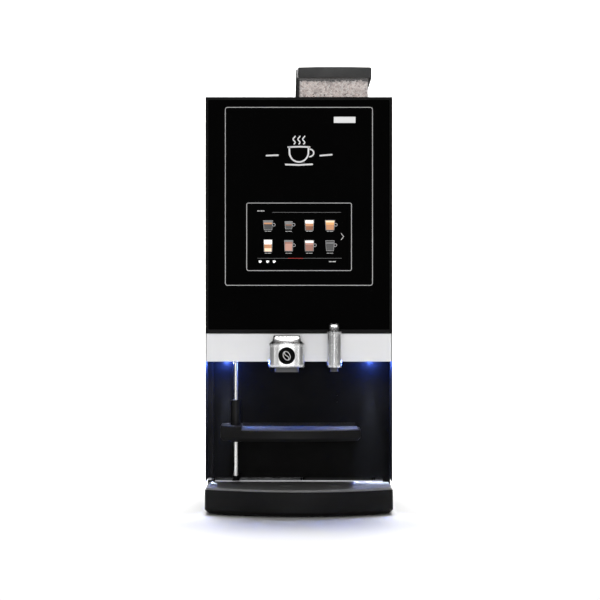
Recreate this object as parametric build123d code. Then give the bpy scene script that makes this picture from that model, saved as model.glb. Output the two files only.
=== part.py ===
from build123d import *
import math
import os

# Bean-to-cup coffee vending machine, in millimetres.
# Origin: middle of the footprint, on the surface the machine stands on.
# +X is the right-hand side seen from the front, the front faces -Y, +Z is up.

# ---------------------------------------------------------------- driving sizes
cabinet_width = 410.0
cabinet_height = 910.0
cabinet_depth = 342.5
door_depth = 105.0
door_gap = 2.5          # between the closed door and the cabinet
tray_overhang = 120.0   # how far the drip tray stands in front of the door
inlet_length = 15.0     # how far the water inlet stands behind the rear panel
foot_height = 15.0
door_bottom = 67.0
niche_top = 330.0       # underside of the niche ceiling
band_height = 61.5      # pale band between the niche and the glass

# ---------------------------------------------------------------- shared sizes
sheet = 1.5             # cabinet sheet metal
running = 0.1           # radial clearance of a pin that turns in its hole
gap = 0.3               # clearance between pieces that only sit side by side
frame_border = 6.0      # door frame beside the glass
cheek = 2.0             # door side wall beside the niche
flange_width = 15.0     # folded front edge of each side panel
backsplash_thickness = 7.0
ceiling_thickness = 3.0
liner_thickness = 2.0
glass_thickness = 4.0
rod_radius = 5.0
rod_x_from_left = 66.0
rod_setback = 22.5      # rod axis behind the door's front plane
hinge_inset = 7.0       # hinge axis from the door's left and rear faces
hinge_pin_radius = 4.0
lug_thickness = 3.0
lug_gap = 2.0           # between a hinge lug and the door it carries

# ---------------------------------------------------------------- shared places
left = -cabinet_width / 2
right = cabinet_width / 2
total_depth = tray_overhang + door_depth + door_gap + cabinet_depth + inlet_length
tray_front = -total_depth / 2
door_front = tray_front + tray_overhang
door_back = door_front + door_depth
cabinet_front = door_back + door_gap
cabinet_back = cabinet_front + cabinet_depth
inner_back = cabinet_back - sheet
door_top = cabinet_height
band_top = niche_top + band_height
rail_top = band_top + 8.5          # top of the rail under the glass
hinge_x = left + hinge_inset
hinge_y = door_back - hinge_inset
post_size = 2 * hinge_inset
rod_x = left + rod_x_from_left
rod_y = door_front + rod_setback
backsplash_front = door_back - backsplash_thickness
bulkhead_y = cabinet_front + 185.0
bulkhead_thickness = 1.5


def block(x_low, x_high, y_low, y_high, z_low, z_high):
    """A box given by its two limits on each axis."""
    size = Box(x_high - x_low, y_high - y_low, z_high - z_low)
    centre = ((x_low + x_high) / 2, (y_low + y_high) / 2, (z_low + z_high) / 2)
    return Pos(*centre) * size


def upright(x, y, z_low, z_high, radius):
    """A cylinder standing along Z."""
    return Pos(x, y, (z_low + z_high) / 2) * Cylinder(radius, z_high - z_low)


def across(x_low, x_high, y, z, radius):
    """A cylinder lying along X."""
    return Pos((x_low + x_high) / 2, y, z) * Rot(0, 90, 0) * Cylinder(radius, x_high - x_low)


def deep(x, y_low, y_high, z, radius):
    """A cylinder lying along Y."""
    return Pos(x, (y_low + y_high) / 2, z) * Rot(90, 0, 0) * Cylinder(radius, y_high - y_low)


def plate_of(face, z_low, z_high):
    """A flat outline raised between two heights."""
    return extrude(Pos(0, 0, z_low) * face, z_high - z_low, dir=(0, 0, 1))


def prism_along_x(points, x_low, x_high):
    """A prism whose (y, z) profile runs from one X to another."""
    profile = make_face(Polyline(*[(x_low, y, z) for y, z in points + points[:1]]))
    return extrude(profile, x_high - x_low, dir=(1, 0, 0))


def prism_along_y(points, y_low, y_high):
    """A prism whose (x, z) profile runs from one Y to another."""
    profile = make_face(Polyline(*[(x, y_low, z) for x, z in points + points[:1]]))
    return extrude(profile, y_high - y_low, dir=(0, 1, 0))


def bow_outline(x_low, x_high, y_back, y_corner, y_middle):
    """A plan outline with straight sides and a bowed front."""
    x_middle = (x_low + x_high) / 2
    front = ThreePointArc((x_low, y_corner), (x_middle, y_middle), (x_high, y_corner))
    sides = Polyline((x_high, y_corner), (x_high, y_back), (x_low, y_back), (x_low, y_corner))
    return make_face([front, sides])


def drains(y, z_low, z_high):
    """The slots cut under each outlet: a short row of slots from left to right."""
    cuts = []
    for outlet_x in (head_x, spout_x):
        for row in range(drain_rows):
            y_slot = y + (row - (drain_rows - 1) / 2) * drain_pitch
            length = drain_length - 2 * drain_step * abs(row - (drain_rows - 1) / 2)
            slot = block(outlet_x - length / 2, outlet_x + length / 2, y_slot - drain_width / 2,
                         y_slot + drain_width / 2, z_low - 1, z_high + 1)
            cuts.append(fillet(slot.edges().filter_by(Axis.Z), drain_width / 2 - 0.1))
    return cuts


def save(name, shape):
    """Write one sub-part to its own file."""
    solids = shape.solids()
    shape = solids[0] if len(solids) == 1 else Compound(children=list(solids))
    export_step(shape, os.path.join("parts", name + ".step"))


# ================================================================ cabinet shell
pan_thickness = 2.0
sill_height = 43.0
vent_x = 80.0
vent_pitch = 9.0
vent_slot = 4.0
low_vent_z = 180.0
low_vent_half_width = 60.0
fan_z = cabinet_height - 190.0
fan_size = 92.0
fan_bore = 43.0
fan_depth = 25.0
water_x = left + 65.0
water_z = 80.0
water_radius = 13.22       # three-quarter inch pipe thread, outside
inlet_shoulder_radius = 15.0
inlet_shoulder = 2.0       # how far the shoulder stands behind the rear panel
mains_z = 70.0
mains_x_low = vent_x + 10.0
mains_width = 68.0
mains_height = 36.0
screw_radius = 2.0
screw_head_radius = 4.0
screw_head_height = 2.4

hopper_width = 160.0
hopper_depth = 190.0
hopper_rise = 54.0         # clear wall above the cabinet
hopper_wall = 3.0
hopper_side_gap = 46.4     # from the cabinet's right side
hopper_right = right - hopper_side_gap
hopper_left = hopper_right - hopper_width
hopper_front = cabinet_front + 5.0
hopper_back = hopper_front + hopper_depth
hopper_x = (hopper_left + hopper_right) / 2
hopper_y = (hopper_front + hopper_back) / 2
hopper_rim = cabinet_height + hopper_rise
funnel_inset = 6.0
neck_half = 26.0
neck_top = cabinet_height - 45.0
neck_bottom = cabinet_height - 48.0

lock_z = cabinet_height - 350.0
lock_y = door_back - 17.5
lock_radius = 9.0
stem_radius = 3.0
cam_reach = 30.0           # lock axis to striker pin
cam_x_high = right - 18.0
cam_thickness = 3.0
striker_radius = 3.0
cam_lip = 6.0              # cam metal outside the striker slot
cam_half_width = 11.0
cam_length = cam_reach + striker_radius + cam_lip
cam_clearance = 2.0


def screw_places():
    """Rear panel screws: three on each side edge and two on the top edge."""
    edge = 12.0
    low = foot_height + 40.0
    high = cabinet_height - 30.0
    places = []
    for x in (left + edge, right - edge):
        for z in (low, (low + high) / 2, high):
            places.append((x, z))
    for x in (left / 3, right / 3):
        places.append((x, high))
    return places


def base_pan():
    floor = block(left, right, cabinet_front, cabinet_back, foot_height, foot_height + pan_thickness)
    sill = block(left + sheet + flange_width, right - sheet - flange_width, cabinet_front,
                 cabinet_front + sheet, foot_height + pan_thickness,
                 foot_height + pan_thickness + sill_height)
    return floor + sill


def side_panels():
    """Two side sheets, each folded inwards at the front edge."""
    low = foot_height + pan_thickness
    high = cabinet_height - sheet
    folded = []
    for side in (-1, 1):
        outer = side * right
        inner = side * (right - sheet)
        edge = side * (right - sheet - flange_width)
        skin = block(min(outer, inner), max(outer, inner), cabinet_front, cabinet_back, low, high)
        fold = block(min(inner, edge), max(inner, edge), cabinet_front, cabinet_front + sheet, low, high)
        folded.append(skin + fold)
    return Compound(children=folded)


def rear_panel():
    panel = block(left + sheet, right - sheet, inner_back, cabinet_back,
                  foot_height + pan_thickness, cabinet_height - sheet)
    cuts = []
    fan_rows = 9
    low_rows = 6
    rim = 2.0
    slots = []
    for row in range(fan_rows):
        z = fan_z + (row - (fan_rows - 1) / 2) * vent_pitch
        slots.append((vent_x, math.sqrt((fan_bore - rim) ** 2 - (z - fan_z) ** 2), z))
    for row in range(low_rows):
        slots.append((0, low_vent_half_width, low_vent_z + row * vent_pitch))
    for x, half, z in slots:
        cuts.append(block(x - half, x + half, inner_back - 1, cabinet_back + 1,
                          z - vent_slot / 2, z + vent_slot / 2))
    cuts.append(block(mains_x_low, mains_x_low + mains_width, inner_back - 1, cabinet_back + 1,
                      mains_z - mains_height / 2, mains_z + mains_height / 2))
    cuts.append(deep(water_x, inner_back - 1, cabinet_back + 1, water_z, inlet_shoulder_radius + gap))
    for x, z in screw_places():
        cuts.append(deep(x, inner_back - 1, cabinet_back + 1, z, screw_radius + gap))
    return panel - cuts


def top_panel():
    panel = block(left, right, cabinet_front, cabinet_back, cabinet_height - sheet, cabinet_height)
    hole = block(hopper_left + funnel_inset - gap, hopper_right - funnel_inset + gap,
                 hopper_front + funnel_inset - gap, hopper_back - funnel_inset + gap,
                 cabinet_height - sheet - 1, cabinet_height + 1)
    return panel - hole


def front_frame():
    """Header between the side panels, with the striker that the lock cam catches."""
    header_drop = 26.0
    header = block(left + sheet + flange_width, right - sheet - flange_width, cabinet_front,
                   cabinet_front + sheet, cabinet_height - sheet - header_drop, cabinet_height - sheet)
    pin_y = lock_y + cam_reach
    half = 9.0
    carrier_x = cam_x_high + 1.5
    pin_end = 1.0
    carrier = block(carrier_x, right - sheet, cabinet_front + sheet, pin_y + half,
                    lock_z - half, lock_z + half)
    pin = across(cam_x_high - cam_thickness - pin_end, carrier_x, pin_y, lock_z, striker_radius)
    return Compound(children=[header, carrier + pin])


arm_x = 110.0
arm_width = 30.0
arm_low = 8.0
arm_high = 19.7
arm_reach = 160.0
arm_root = 105.0           # length bolted under the base pan


def tray_support():
    """Two arms bolted under the base pan; the drip tray rides on them."""
    arms = []
    for x in (-arm_x, arm_x):
        root = block(x - arm_width / 2, x + arm_width / 2, cabinet_front, cabinet_front + arm_root,
                     arm_low, foot_height)
        arm = block(x - arm_width / 2, x + arm_width / 2, cabinet_front - arm_reach, cabinet_front,
                    arm_low, arm_high)
        arms.append(root + arm)
    return Compound(children=arms)


def hinge_brackets():
    """A lug below and a lug above the door, each with its pin."""
    pin_length = 12.0
    low_lug = door_bottom - lug_gap - lug_thickness
    high_lug = cabinet_height - sheet - lug_thickness
    lugs = []
    for lug_low, pin_low, pin_high in (
        (low_lug, low_lug, door_bottom + pin_length - lug_gap),
        (high_lug, high_lug - pin_length, high_lug + lug_thickness),
    ):
        ear = upright(hinge_x, hinge_y, lug_low, lug_low + lug_thickness, hinge_inset)
        arm = block(left, left + post_size, hinge_y, cabinet_front, lug_low, lug_low + lug_thickness)
        pin = upright(hinge_x, hinge_y, pin_low, pin_high, hinge_pin_radius)
        lugs.append(ear + arm + pin)
    return Compound(children=lugs)


def panel_screws():
    """Socket screws through the rear panel."""
    shank_inside = 6.0
    head_bevel = 0.9
    socket_floor = 1.0
    socket_radius = 1.4
    screws = []
    for x, z in screw_places():
        shank = deep(x, inner_back - shank_inside, cabinet_back, z, screw_radius)
        head = deep(x, cabinet_back, cabinet_back + screw_head_height, z, screw_head_radius)
        head = chamfer(head.edges().filter_by(GeomType.CIRCLE).sort_by(Axis.Y)[-1], head_bevel)
        socket = deep(x, cabinet_back + socket_floor, cabinet_back + screw_head_height + 1, z, socket_radius)
        screws.append(shank + head - socket)
    return Compound(children=screws)


def feet():
    """Four rubber pads, each on a short stem."""
    pads = []
    inset = 35.0
    pad_height = 10.0
    pad_radius = 18.0
    stem_radius = 9.0
    for x in (left + inset, right - inset):
        for y in (cabinet_front + inset, cabinet_back - inset):
            pad = upright(x, y, 0, pad_height, pad_radius)
            pad = fillet(pad.edges().sort_by(Axis.Z)[0], 2.0)
            pads.append(pad + upright(x, y, pad_height, foot_height, stem_radius))
    return Compound(children=pads)


# ================================================================ rear fittings
def water_inlet():
    """Threaded spigot with a shoulder in the panel, a flange and a tail pipe behind it."""
    bore = 7.0
    flange_radius = 20.0
    flange_thickness = 4.0
    tail_radius = 9.0
    tail_end = inner_back - 24.0
    spigot = deep(water_x, inner_back, cabinet_back + inlet_length, water_z, water_radius)
    spigot += deep(water_x, inner_back, cabinet_back + inlet_shoulder, water_z, inlet_shoulder_radius)
    flange = deep(water_x, inner_back - flange_thickness, inner_back, water_z, flange_radius)
    tail = deep(water_x, tail_end, inner_back - flange_thickness, water_z, tail_radius)
    hole = deep(water_x, tail_end - 1, cabinet_back + inlet_length + 1, water_z, bore)
    return spigot + flange + tail - hole


rocker_x = mains_x_low + mains_width - 17.0
rocker_y = cabinet_back - 4.0
rocker_half_width = 7.0
rocker_half_height = 11.0
rocker_half_depth = 4.5
rocker_tilt = 10.0
mains_lip = 2.0            # how far the flange stands out, and how far it overlaps the panel
rocker_pivot_radius = 1.5
rocker_side_gap = 1.0
rocker_end_gap = 2.0


def mains_inlet():
    """Appliance inlet with earth, live and neutral blades, beside the switch well."""
    body_depth = 22.0
    socket_x = mains_x_low + 22.0
    socket_half_width = 14.0
    socket_half_height = 11.0
    socket_depth = 16.0
    well_depth = 14.0
    blade_half_width = 1.0
    blade_half_height = 2.5
    blade_spread = 7.0
    blade_drop = 2.0
    earth_rise = 3.0
    pivot_length = 3.0
    low = mains_z - mains_height / 2
    high = mains_z + mains_height / 2
    outside = cabinet_back + mains_lip + 1
    body = block(mains_x_low, mains_x_low + mains_width, cabinet_back - body_depth, cabinet_back, low, high)
    lip = block(mains_x_low - mains_lip, mains_x_low + mains_width + mains_lip, cabinet_back,
                cabinet_back + mains_lip, low - mains_lip, high + mains_lip)
    socket = block(socket_x - socket_half_width, socket_x + socket_half_width, cabinet_back - socket_depth,
                   outside, mains_z - socket_half_height, mains_z + socket_half_height)
    well_half_width = rocker_half_width + rocker_side_gap
    well_half_height = rocker_half_height + rocker_end_gap
    well = block(rocker_x - well_half_width, rocker_x + well_half_width, cabinet_back - well_depth,
                 outside, mains_z - well_half_height, mains_z + well_half_height)
    blades = []
    for x, z in ((socket_x - blade_spread, mains_z - blade_drop), (socket_x, mains_z + earth_rise),
                 (socket_x + blade_spread, mains_z - blade_drop)):
        blades.append(block(x - blade_half_width, x + blade_half_width, cabinet_back - socket_depth,
                            cabinet_back - 1.0, z - blade_half_height, z + blade_half_height))
    pivots = []
    for side in (-1, 1):
        wall = rocker_x + side * well_half_width
        tip = wall - side * pivot_length
        pivots.append(across(min(wall, tip), max(wall, tip), rocker_y, mains_z, rocker_pivot_radius))
    return (body + lip - socket - well) + blades + pivots


def power_rocker():
    """A rocker that tips about X; it is drawn tipped to its off position."""
    half = rocker_half_height
    waist = 1.6
    pivot_hole = 2.3
    profile = make_face(Polyline(
        (0, 0, -half), (0, -rocker_half_depth, -half), (0, -rocker_half_depth, half), (0, 0, half),
        (0, rocker_half_depth, half), (0, rocker_half_depth - waist, 0), (0, rocker_half_depth, -half),
        (0, 0, -half)))
    rocker = extrude(profile, rocker_half_width, both=True)
    hole = rocker_pivot_radius + running
    rocker -= across(-rocker_half_width - 1, -rocker_half_width + pivot_hole, 0, 0, hole)
    rocker -= across(rocker_half_width - pivot_hole, rocker_half_width + 1, 0, 0, hole)
    return Pos(rocker_x, rocker_y, mains_z) * Rot(rocker_tilt, 0, 0) * rocker


fan_y = inner_back - fan_depth
hub_radius = 18.0
spoke_depth = 3.0


def fan_housing():
    """Square frame with a round bore, and four spokes that carry the hub."""
    half = fan_size / 2
    spoke_width = 5.0
    frame = block(vent_x - half, vent_x + half, fan_y, inner_back, fan_z - half, fan_z + half)
    frame = fillet(frame.edges().filter_by(Axis.Y), 5.0)
    frame -= deep(vent_x, fan_y - 1, inner_back + 1, fan_z, fan_bore)
    spokes = deep(vent_x, fan_y, fan_y + spoke_depth, fan_z, hub_radius)
    for angle in (45, 135):
        bar = Box(2 * fan_bore + 4, spoke_depth, spoke_width)
        spokes += Pos(vent_x, fan_y + spoke_depth / 2, fan_z) * Rot(0, angle, 0) * bar
    return frame + spokes


def fan_rotor():
    """Hub with seven pitched blades."""
    start = fan_y + spoke_depth + gap
    end = inner_back - 1.5
    rotor = deep(vent_x, start, end, fan_z, hub_radius)
    blades = 7
    blade_pitch = 38
    blade = Pos(28.0, 0, 0) * Rot(blade_pitch, 0, 0) * Box(24.0, 22.0, 2.0)
    for index in range(blades):
        place = Pos(vent_x, (start + end) / 2, fan_z) * Rot(0, 360 / blades * index, 0)
        rotor += place * blade
    return rotor


# ================================================================ machine inside
def component_shelf():
    """Bulkhead across the cabinet, with the shelf that carries the canisters."""
    wall = block(left + sheet, right - sheet, bulkhead_y, bulkhead_y + bulkhead_thickness,
                 foot_height + pan_thickness, cabinet_height - 55.0)
    ledge = block(left + sheet, canister_right + 4.0, canister_front + 25.0, bulkhead_y,
                  shelf_z - 2.0, shelf_z)
    holes = []
    for x in canister_places():
        holes.append(deep(x, bulkhead_y - 1, bulkhead_y + 3, auger_z, auger_shaft + 1))
        holes.append(deep(x, bulkhead_y - 1, bulkhead_y + 3, whip_z, whip_shaft + 1))
    holes.append(deep(hot_x, bulkhead_y - 1, bulkhead_y + 3, dock_z, hose_radius + 1))
    return wall + ledge - holes


shelf_z = 510.0
canister_width = 84.0
canister_depth = 150.0
canister_height = 250.0
canister_space = 6.0
canister_front = cabinet_front + 20.0
canister_left = left + sheet + 8.5
canister_right = canister_left + 2 * canister_width + canister_space
auger_z = shelf_z + 20.0
auger_shaft = 4.0
auger_radius = 13.0
whip_z = shelf_z - 70.0
whip_shaft = 3.5
bowl_radius = 34.0
bowl_wall = 3.0
bowl_y = canister_front - 8.0 + bowl_radius
whip_chamber_radius = 26.0
bowl_foot = whip_z - whip_chamber_radius
hose_radius = 5.0
hose_bore = 3.2
dock_z = 360.0
motor_half = 26.0
motor_depth = 38.0
gear_head_depth = 17.1
motor_can_radius = 18.72
grinder_motor_radius = 42.0
grinder_motor_length = 117.0
brewer_motor_radius = 18.0
brewer_motor_length = 52.0
canister_wall = 2.5
canister_corner = 8.0
spout_length = 14.0        # of the powder spout in front of a canister
powder_hole = 4.5


def canister_places():
    """The middle of each canister, from left to right."""
    first = canister_left + canister_width / 2
    return (first, first + canister_width + canister_space)


def canisters():
    """Two powder canisters, each open at the top, with an outlet spout at the front foot."""
    wall = canister_wall
    tube_wall = 2.0
    auger_room = 1.5
    back = canister_front + canister_depth
    low = shelf_z
    high = shelf_z + canister_height
    boxes = []
    for x in canister_places():
        body = block(x - canister_width / 2, x + canister_width / 2, canister_front, back, low, high)
        body = fillet(body.edges().filter_by(Axis.Z), canister_corner)
        body -= block(x - canister_width / 2 + wall, x + canister_width / 2 - wall,
                      canister_front + wall, back - wall, low + wall, high + 1)
        body += deep(x, canister_front - spout_length, canister_front, auger_z,
                     auger_radius + auger_room + tube_wall)
        body -= deep(x, canister_front - spout_length + tube_wall, canister_front + wall + 1, auger_z,
                     auger_radius + auger_room)
        body -= upright(x, canister_front - spout_length / 2, auger_z - 20.0, auger_z, powder_hole)
        body -= deep(x, back - wall - 1, back + 1, auger_z, auger_shaft + running)
        boxes.append(body)
    return Compound(children=boxes)


def canister_lids():
    """A flat lid with a bar grip on each canister."""
    height = 9.0
    overhang = 1.0
    grip_half_length = 20.0
    grip_half_width = 6.0
    grip_height = 8.0
    low = shelf_z + canister_height
    middle_y = canister_front + canister_depth / 2
    lids = []
    for x in canister_places():
        half = canister_width / 2 + overhang
        lid = block(x - half, x + half, canister_front - overhang,
                    canister_front + canister_depth + overhang, low, low + height)
        lid = fillet(lid.edges().filter_by(Axis.Z), canister_corner + overhang)
        grip = block(x - grip_half_length, x + grip_half_length, middle_y - grip_half_width,
                     middle_y + grip_half_width, low + height, low + height + grip_height)
        lids.append(lid + grip)
    return Compound(children=lids)


def auger(x):
    """Powder auger: a shaft with tilted flights."""
    shaft = deep(x, canister_front - 10.0, bulkhead_y + bulkhead_thickness, auger_z, auger_shaft)
    flights = 10
    end_room = 11.0
    flight_lean = 18
    flight_thickness = 1.6
    wall_room = 1.5
    pitch = (canister_depth - 2 * end_room) / (flights - 1)
    for index in range(flights):
        y = canister_front + end_room + index * pitch
        disc = Rot(flight_lean, 0, 0) * Rot(90, 0, 0) * Cylinder(auger_radius - wall_room, flight_thickness)
        shaft += Pos(x, y, auger_z) * disc
    return shaft


def mixer_bowls():
    """Under each canister a funnel bowl, with the whipping chamber behind its foot."""
    bowls = []
    top = shelf_z - 8.0
    foot_radius = 11.0
    chamber_back = bowl_y + 44.0
    for x in canister_places():
        outer = upright(x, bowl_y, whip_z - 6.0, top, bowl_radius)
        outer += deep(x, bowl_y, chamber_back, whip_z, whip_chamber_radius)
        outer += upright(x, bowl_y, bowl_foot, whip_z, foot_radius)
        inner = upright(x, bowl_y, whip_z + 2.0, top + 1, bowl_radius - bowl_wall)
        inner += deep(x, bowl_y, chamber_back - bowl_wall, whip_z, whip_chamber_radius - bowl_wall)
        inner += upright(x, bowl_y, bowl_foot - 1, whip_z, hose_bore)
        bowl = outer - inner
        bowl -= deep(x, chamber_back - bowl_wall - 1, chamber_back + 1, whip_z, whip_shaft + running)
        bowls.append(bowl)
    return Compound(children=bowls)


def whipper(x):
    """Whipping disc with six vanes, on the shaft that its motor turns."""
    disc_y = bowl_y + 16.0
    disc_thickness = 3.0
    disc_radius = 18.0
    vanes = 6
    vane_length = 11.0
    vane_depth = 6.0
    vane_thickness = 2.0
    whip = deep(x, disc_y, disc_y + disc_thickness, whip_z, disc_radius)
    whip += deep(x, disc_y + disc_thickness, bulkhead_y + bulkhead_thickness, whip_z, whip_shaft)
    for index in range(vanes):
        place = Pos(x, disc_y - vane_depth / 2, whip_z) * Rot(0, 360 / vanes * index, 0)
        whip += place * Pos(vane_length, 0, 0) * Box(vane_length, vane_depth, vane_thickness)
    return whip


def gear_motor(x, y_front, z):
    """A square gear head with a round motor behind it."""
    head_back = y_front + gear_head_depth
    head = block(x - motor_half, x + motor_half, y_front, head_back, z - motor_half, z + motor_half)
    head = fillet(head.edges().filter_by(Axis.Y), 6.0)
    return head + deep(x, head_back, y_front + motor_depth, z, motor_can_radius)


def drive_motors():
    """Auger and whipper motors on the bulkhead, grinder motor, and brewer motor."""
    motors = []
    face = bulkhead_y + bulkhead_thickness
    for x in canister_places():
        motors.append(gear_motor(x, face, auger_z))
        motors.append(gear_motor(x, face, whip_z))
    can = upright(hopper_x, hopper_y, grinder_foot - grinder_motor_length, grinder_foot,
                  grinder_motor_radius)
    can = chamfer(can.edges().sort_by(Axis.Z)[0], 5.0)
    motors.append(can)
    motors.append(upright(spindle_x, brew_y, brew_top, brew_top + brewer_motor_length, brewer_motor_radius))
    return Compound(children=motors)


def water_tank():
    """Open air-break tank behind the bulkhead, with an overflow stub."""
    wall = 2.5
    width = 140.0
    height = 250.0
    motor_room = 12.0
    back_room = 8.0
    stub_length = 18.0
    stub_radius = 7.0
    stub_bore_radius = 4.5
    x_low = left + 20.0
    x_high = x_low + width
    y_low = bulkhead_y + bulkhead_thickness + motor_depth + motor_room
    y_high = inner_back - back_room
    z_low = shelf_z + 60.0
    z_high = z_low + height
    tank = block(x_low, x_high, y_low, y_high, z_low, z_high)
    tank = fillet(tank.edges().filter_by(Axis.Z), 10.0)
    tank -= block(x_low + wall, x_high - wall, y_low + wall, y_high - wall, z_low + wall, z_high + 1)
    x = (x_low + x_high) / 2
    y = (y_low + y_high) / 2
    stub = upright(x, y, z_low - stub_length, z_low + wall, stub_radius)
    stub_bore = upright(x, y, z_low - stub_length - 1, z_low + wall + 1, stub_bore_radius)
    return tank + stub - stub_bore


def pump():
    """Vane pump: motor body, pump head with two ports, and a foot on the base pan."""
    x = left + 145.0
    y = inner_back - 76.0
    floor = foot_height + pan_thickness
    z = floor + 40.0
    body_length = 80.0
    head_length = 28.0
    port_reach = 34.0
    foot_inset = 10.0
    foot_half = 20.0
    body = across(x, x + body_length, y, z, 27.0)
    head = across(x - head_length, x, y, z, 20.0)
    ports = deep(x - head_length / 2, y - port_reach, y + port_reach, z, 7.0)
    foot = block(x + foot_inset, x + body_length - foot_inset, y - foot_half, y + foot_half, floor, z)
    return body + head + ports + foot


boiler_radius = 58.0
boiler_x = right - 65.0
boiler_y = bulkhead_y + bulkhead_thickness + 14.0 + boiler_radius
boiler_low = 300.0
boiler_height = 250.0
hot_x = right - 40.0
port_face = bulkhead_y + bulkhead_thickness + 6.0


def boiler():
    """Pressed steel boiler with domed ends, its element flange and the hot-water port."""
    tank = upright(boiler_x, boiler_y, boiler_low, boiler_low + boiler_height, boiler_radius)
    tank = fillet(tank.edges().filter_by(GeomType.CIRCLE), 22.0)
    flange_low = boiler_low + boiler_height
    flange_high = flange_low + 8.0
    tank += upright(boiler_x, boiler_y, flange_low, flange_high, 26.0)
    tank += upright(boiler_x, boiler_y, flange_high, flange_high + 16.0, 8.0)
    tank += deep(hot_x, port_face, boiler_y, dock_z, 9.0)
    leg_spread = 30.0
    leg_half_width = 6.0
    leg_half_depth = 8.0
    for side in (-1, 1):
        x = boiler_x + side * leg_spread
        tank += block(x - leg_half_width, x + leg_half_width, boiler_y - leg_half_depth,
                      boiler_y + leg_half_depth, foot_height + pan_thickness, boiler_low + 4)
    return tank


def power_supply():
    """Ventilated power supply case on the base pan."""
    x_low = right - 175.0
    width = 52.0
    depth = 76.0
    height = 150.0
    back = inner_back - 30.0
    low = foot_height + pan_thickness
    case = block(x_low, x_low + width, back - depth, back, low, low + height)
    slots = []
    slot_rows = 9
    slot_pitch = 11.0
    slot_height = 4.0
    slot_depth = 3.0
    slot_inset = 8.0
    for index in range(slot_rows):
        z = low + 30.0 + index * slot_pitch
        slots.append(block(x_low - 1, x_low + slot_depth, back - depth + slot_inset, back - slot_inset,
                           z, z + slot_height))
    return case - slots


# ---------------------------------------------------------------- hopper
def hopper_funnel(shrink):
    """The tapering part of the hopper below the panel, made smaller all round by shrink."""
    inset = funnel_inset + shrink
    top = Rectangle(hopper_width - 2 * inset, hopper_depth - 2 * inset)
    foot = Rectangle(2 * neck_half - 2 * shrink, 2 * neck_half - 2 * shrink)
    top_place = Pos(hopper_x, hopper_y, cabinet_height) * top
    foot_place = Pos(hopper_x, hopper_y, neck_top) * foot
    return loft([top_place, foot_place])


def bean_hopper():
    """Clear hopper: straight walls above the cabinet, a funnel and square neck below."""
    bowl = block(hopper_left, hopper_right, hopper_front, hopper_back, cabinet_height, hopper_rim)
    bowl = fillet(bowl.edges().filter_by(Axis.Z), 5.0)
    bowl += hopper_funnel(0.0)
    bowl += block(hopper_x - neck_half, hopper_x + neck_half, hopper_y - neck_half,
                  hopper_y + neck_half, neck_bottom, neck_top)
    inside = block(hopper_left + hopper_wall, hopper_right - hopper_wall, hopper_front + hopper_wall,
                   hopper_back - hopper_wall, cabinet_height + hopper_wall, hopper_rim + 1)
    mouth = block(hopper_left + funnel_inset + hopper_wall, hopper_right - funnel_inset - hopper_wall,
                  hopper_front + funnel_inset + hopper_wall, hopper_back - funnel_inset - hopper_wall,
                  cabinet_height, cabinet_height + hopper_wall)
    inner_neck = neck_half - hopper_wall
    neck = block(hopper_x - inner_neck, hopper_x + inner_neck, hopper_y - inner_neck,
                 hopper_y + inner_neck, neck_bottom - 1, neck_top)
    return bowl - inside - mouth - hopper_funnel(hopper_wall) - neck


def coffee_beans():
    """The bean bed as one solid: it fills the hopper to just below the rim."""
    slack = 0.5
    freeboard = 9.0
    inset = hopper_wall + slack
    bed = block(hopper_left + inset, hopper_right - inset, hopper_front + inset, hopper_back - inset,
                cabinet_height + hopper_wall + slack, hopper_rim - freeboard)
    neck_fill = block(hopper_left + funnel_inset + inset, hopper_right - funnel_inset - inset,
                      hopper_front + funnel_inset + inset, hopper_back - funnel_inset - inset,
                      cabinet_height, cabinet_height + hopper_wall + slack)
    return bed + neck_fill + hopper_funnel(inset)


frame_width = 7.0
frame_gap = 0.4
frame_lean = 2.3           # the post's outer face leans in by this much at its top
post_rise = 20.0           # how far the post stands above the hopper's rim
frame_thickness = 3.6
lip_width = 3.4
lip_height = 11.6
lid_overhang_left = 1.2
lid_overhang_right = 5.0
lid_overhang_front = 3.0
lid_bulge = 10.0           # bow of the lid's front in plan
lid_height = 24.7
lid_wall = 3.0
lid_corner = 7.0
lid_edge = 4.0
lid_pivot_y = hopper_back + 12.0
lid_pivot_z = hopper_rim + 6.0
lid_pin_radius = 2.5
hinge_ear_inset = 18.0
knuckle_inset = 38.0


def hopper_frame():
    """Black post beside the lid, rear wall with the lid's hinge pin, and a lip on the right."""
    outer = hopper_left - frame_gap - frame_width
    back = hopper_back + frame_gap
    lid_left = hopper_left - lid_overhang_left - frame_gap
    post = [(outer, cabinet_height), (hopper_left - frame_gap, cabinet_height),
            (hopper_left - frame_gap, hopper_rim), (lid_left, hopper_rim), (lid_left, hopper_rim + post_rise),
            (outer + frame_lean, hopper_rim + post_rise)]
    frame = prism_along_y(post, hopper_front, back + frame_thickness)
    lip_x = hopper_right + frame_gap
    lip = [(lip_x, hopper_rim - lip_height), (lip_x, hopper_rim), (lip_x + lip_width, hopper_rim)]
    frame += prism_along_y(lip, hopper_front, back + frame_thickness)
    frame += block(outer + frame_lean, lip_x + 1.0, back, back + frame_thickness, cabinet_height, hopper_rim)
    ear_radius = 2 * lid_pin_radius
    for x in (hopper_left + hinge_ear_inset, hopper_right - hinge_ear_inset):
        ear = block(x - ear_radius, x + ear_radius, back + frame_thickness, lid_pivot_y + ear_radius,
                    hopper_rim - 24.0, lid_pivot_z)
        frame += ear + across(x - ear_radius, x + ear_radius, lid_pivot_y, lid_pivot_z, ear_radius)
    frame += across(hopper_left + hinge_ear_inset, hopper_right - hinge_ear_inset, lid_pivot_y, lid_pivot_z,
                    lid_pin_radius)
    return frame


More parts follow.
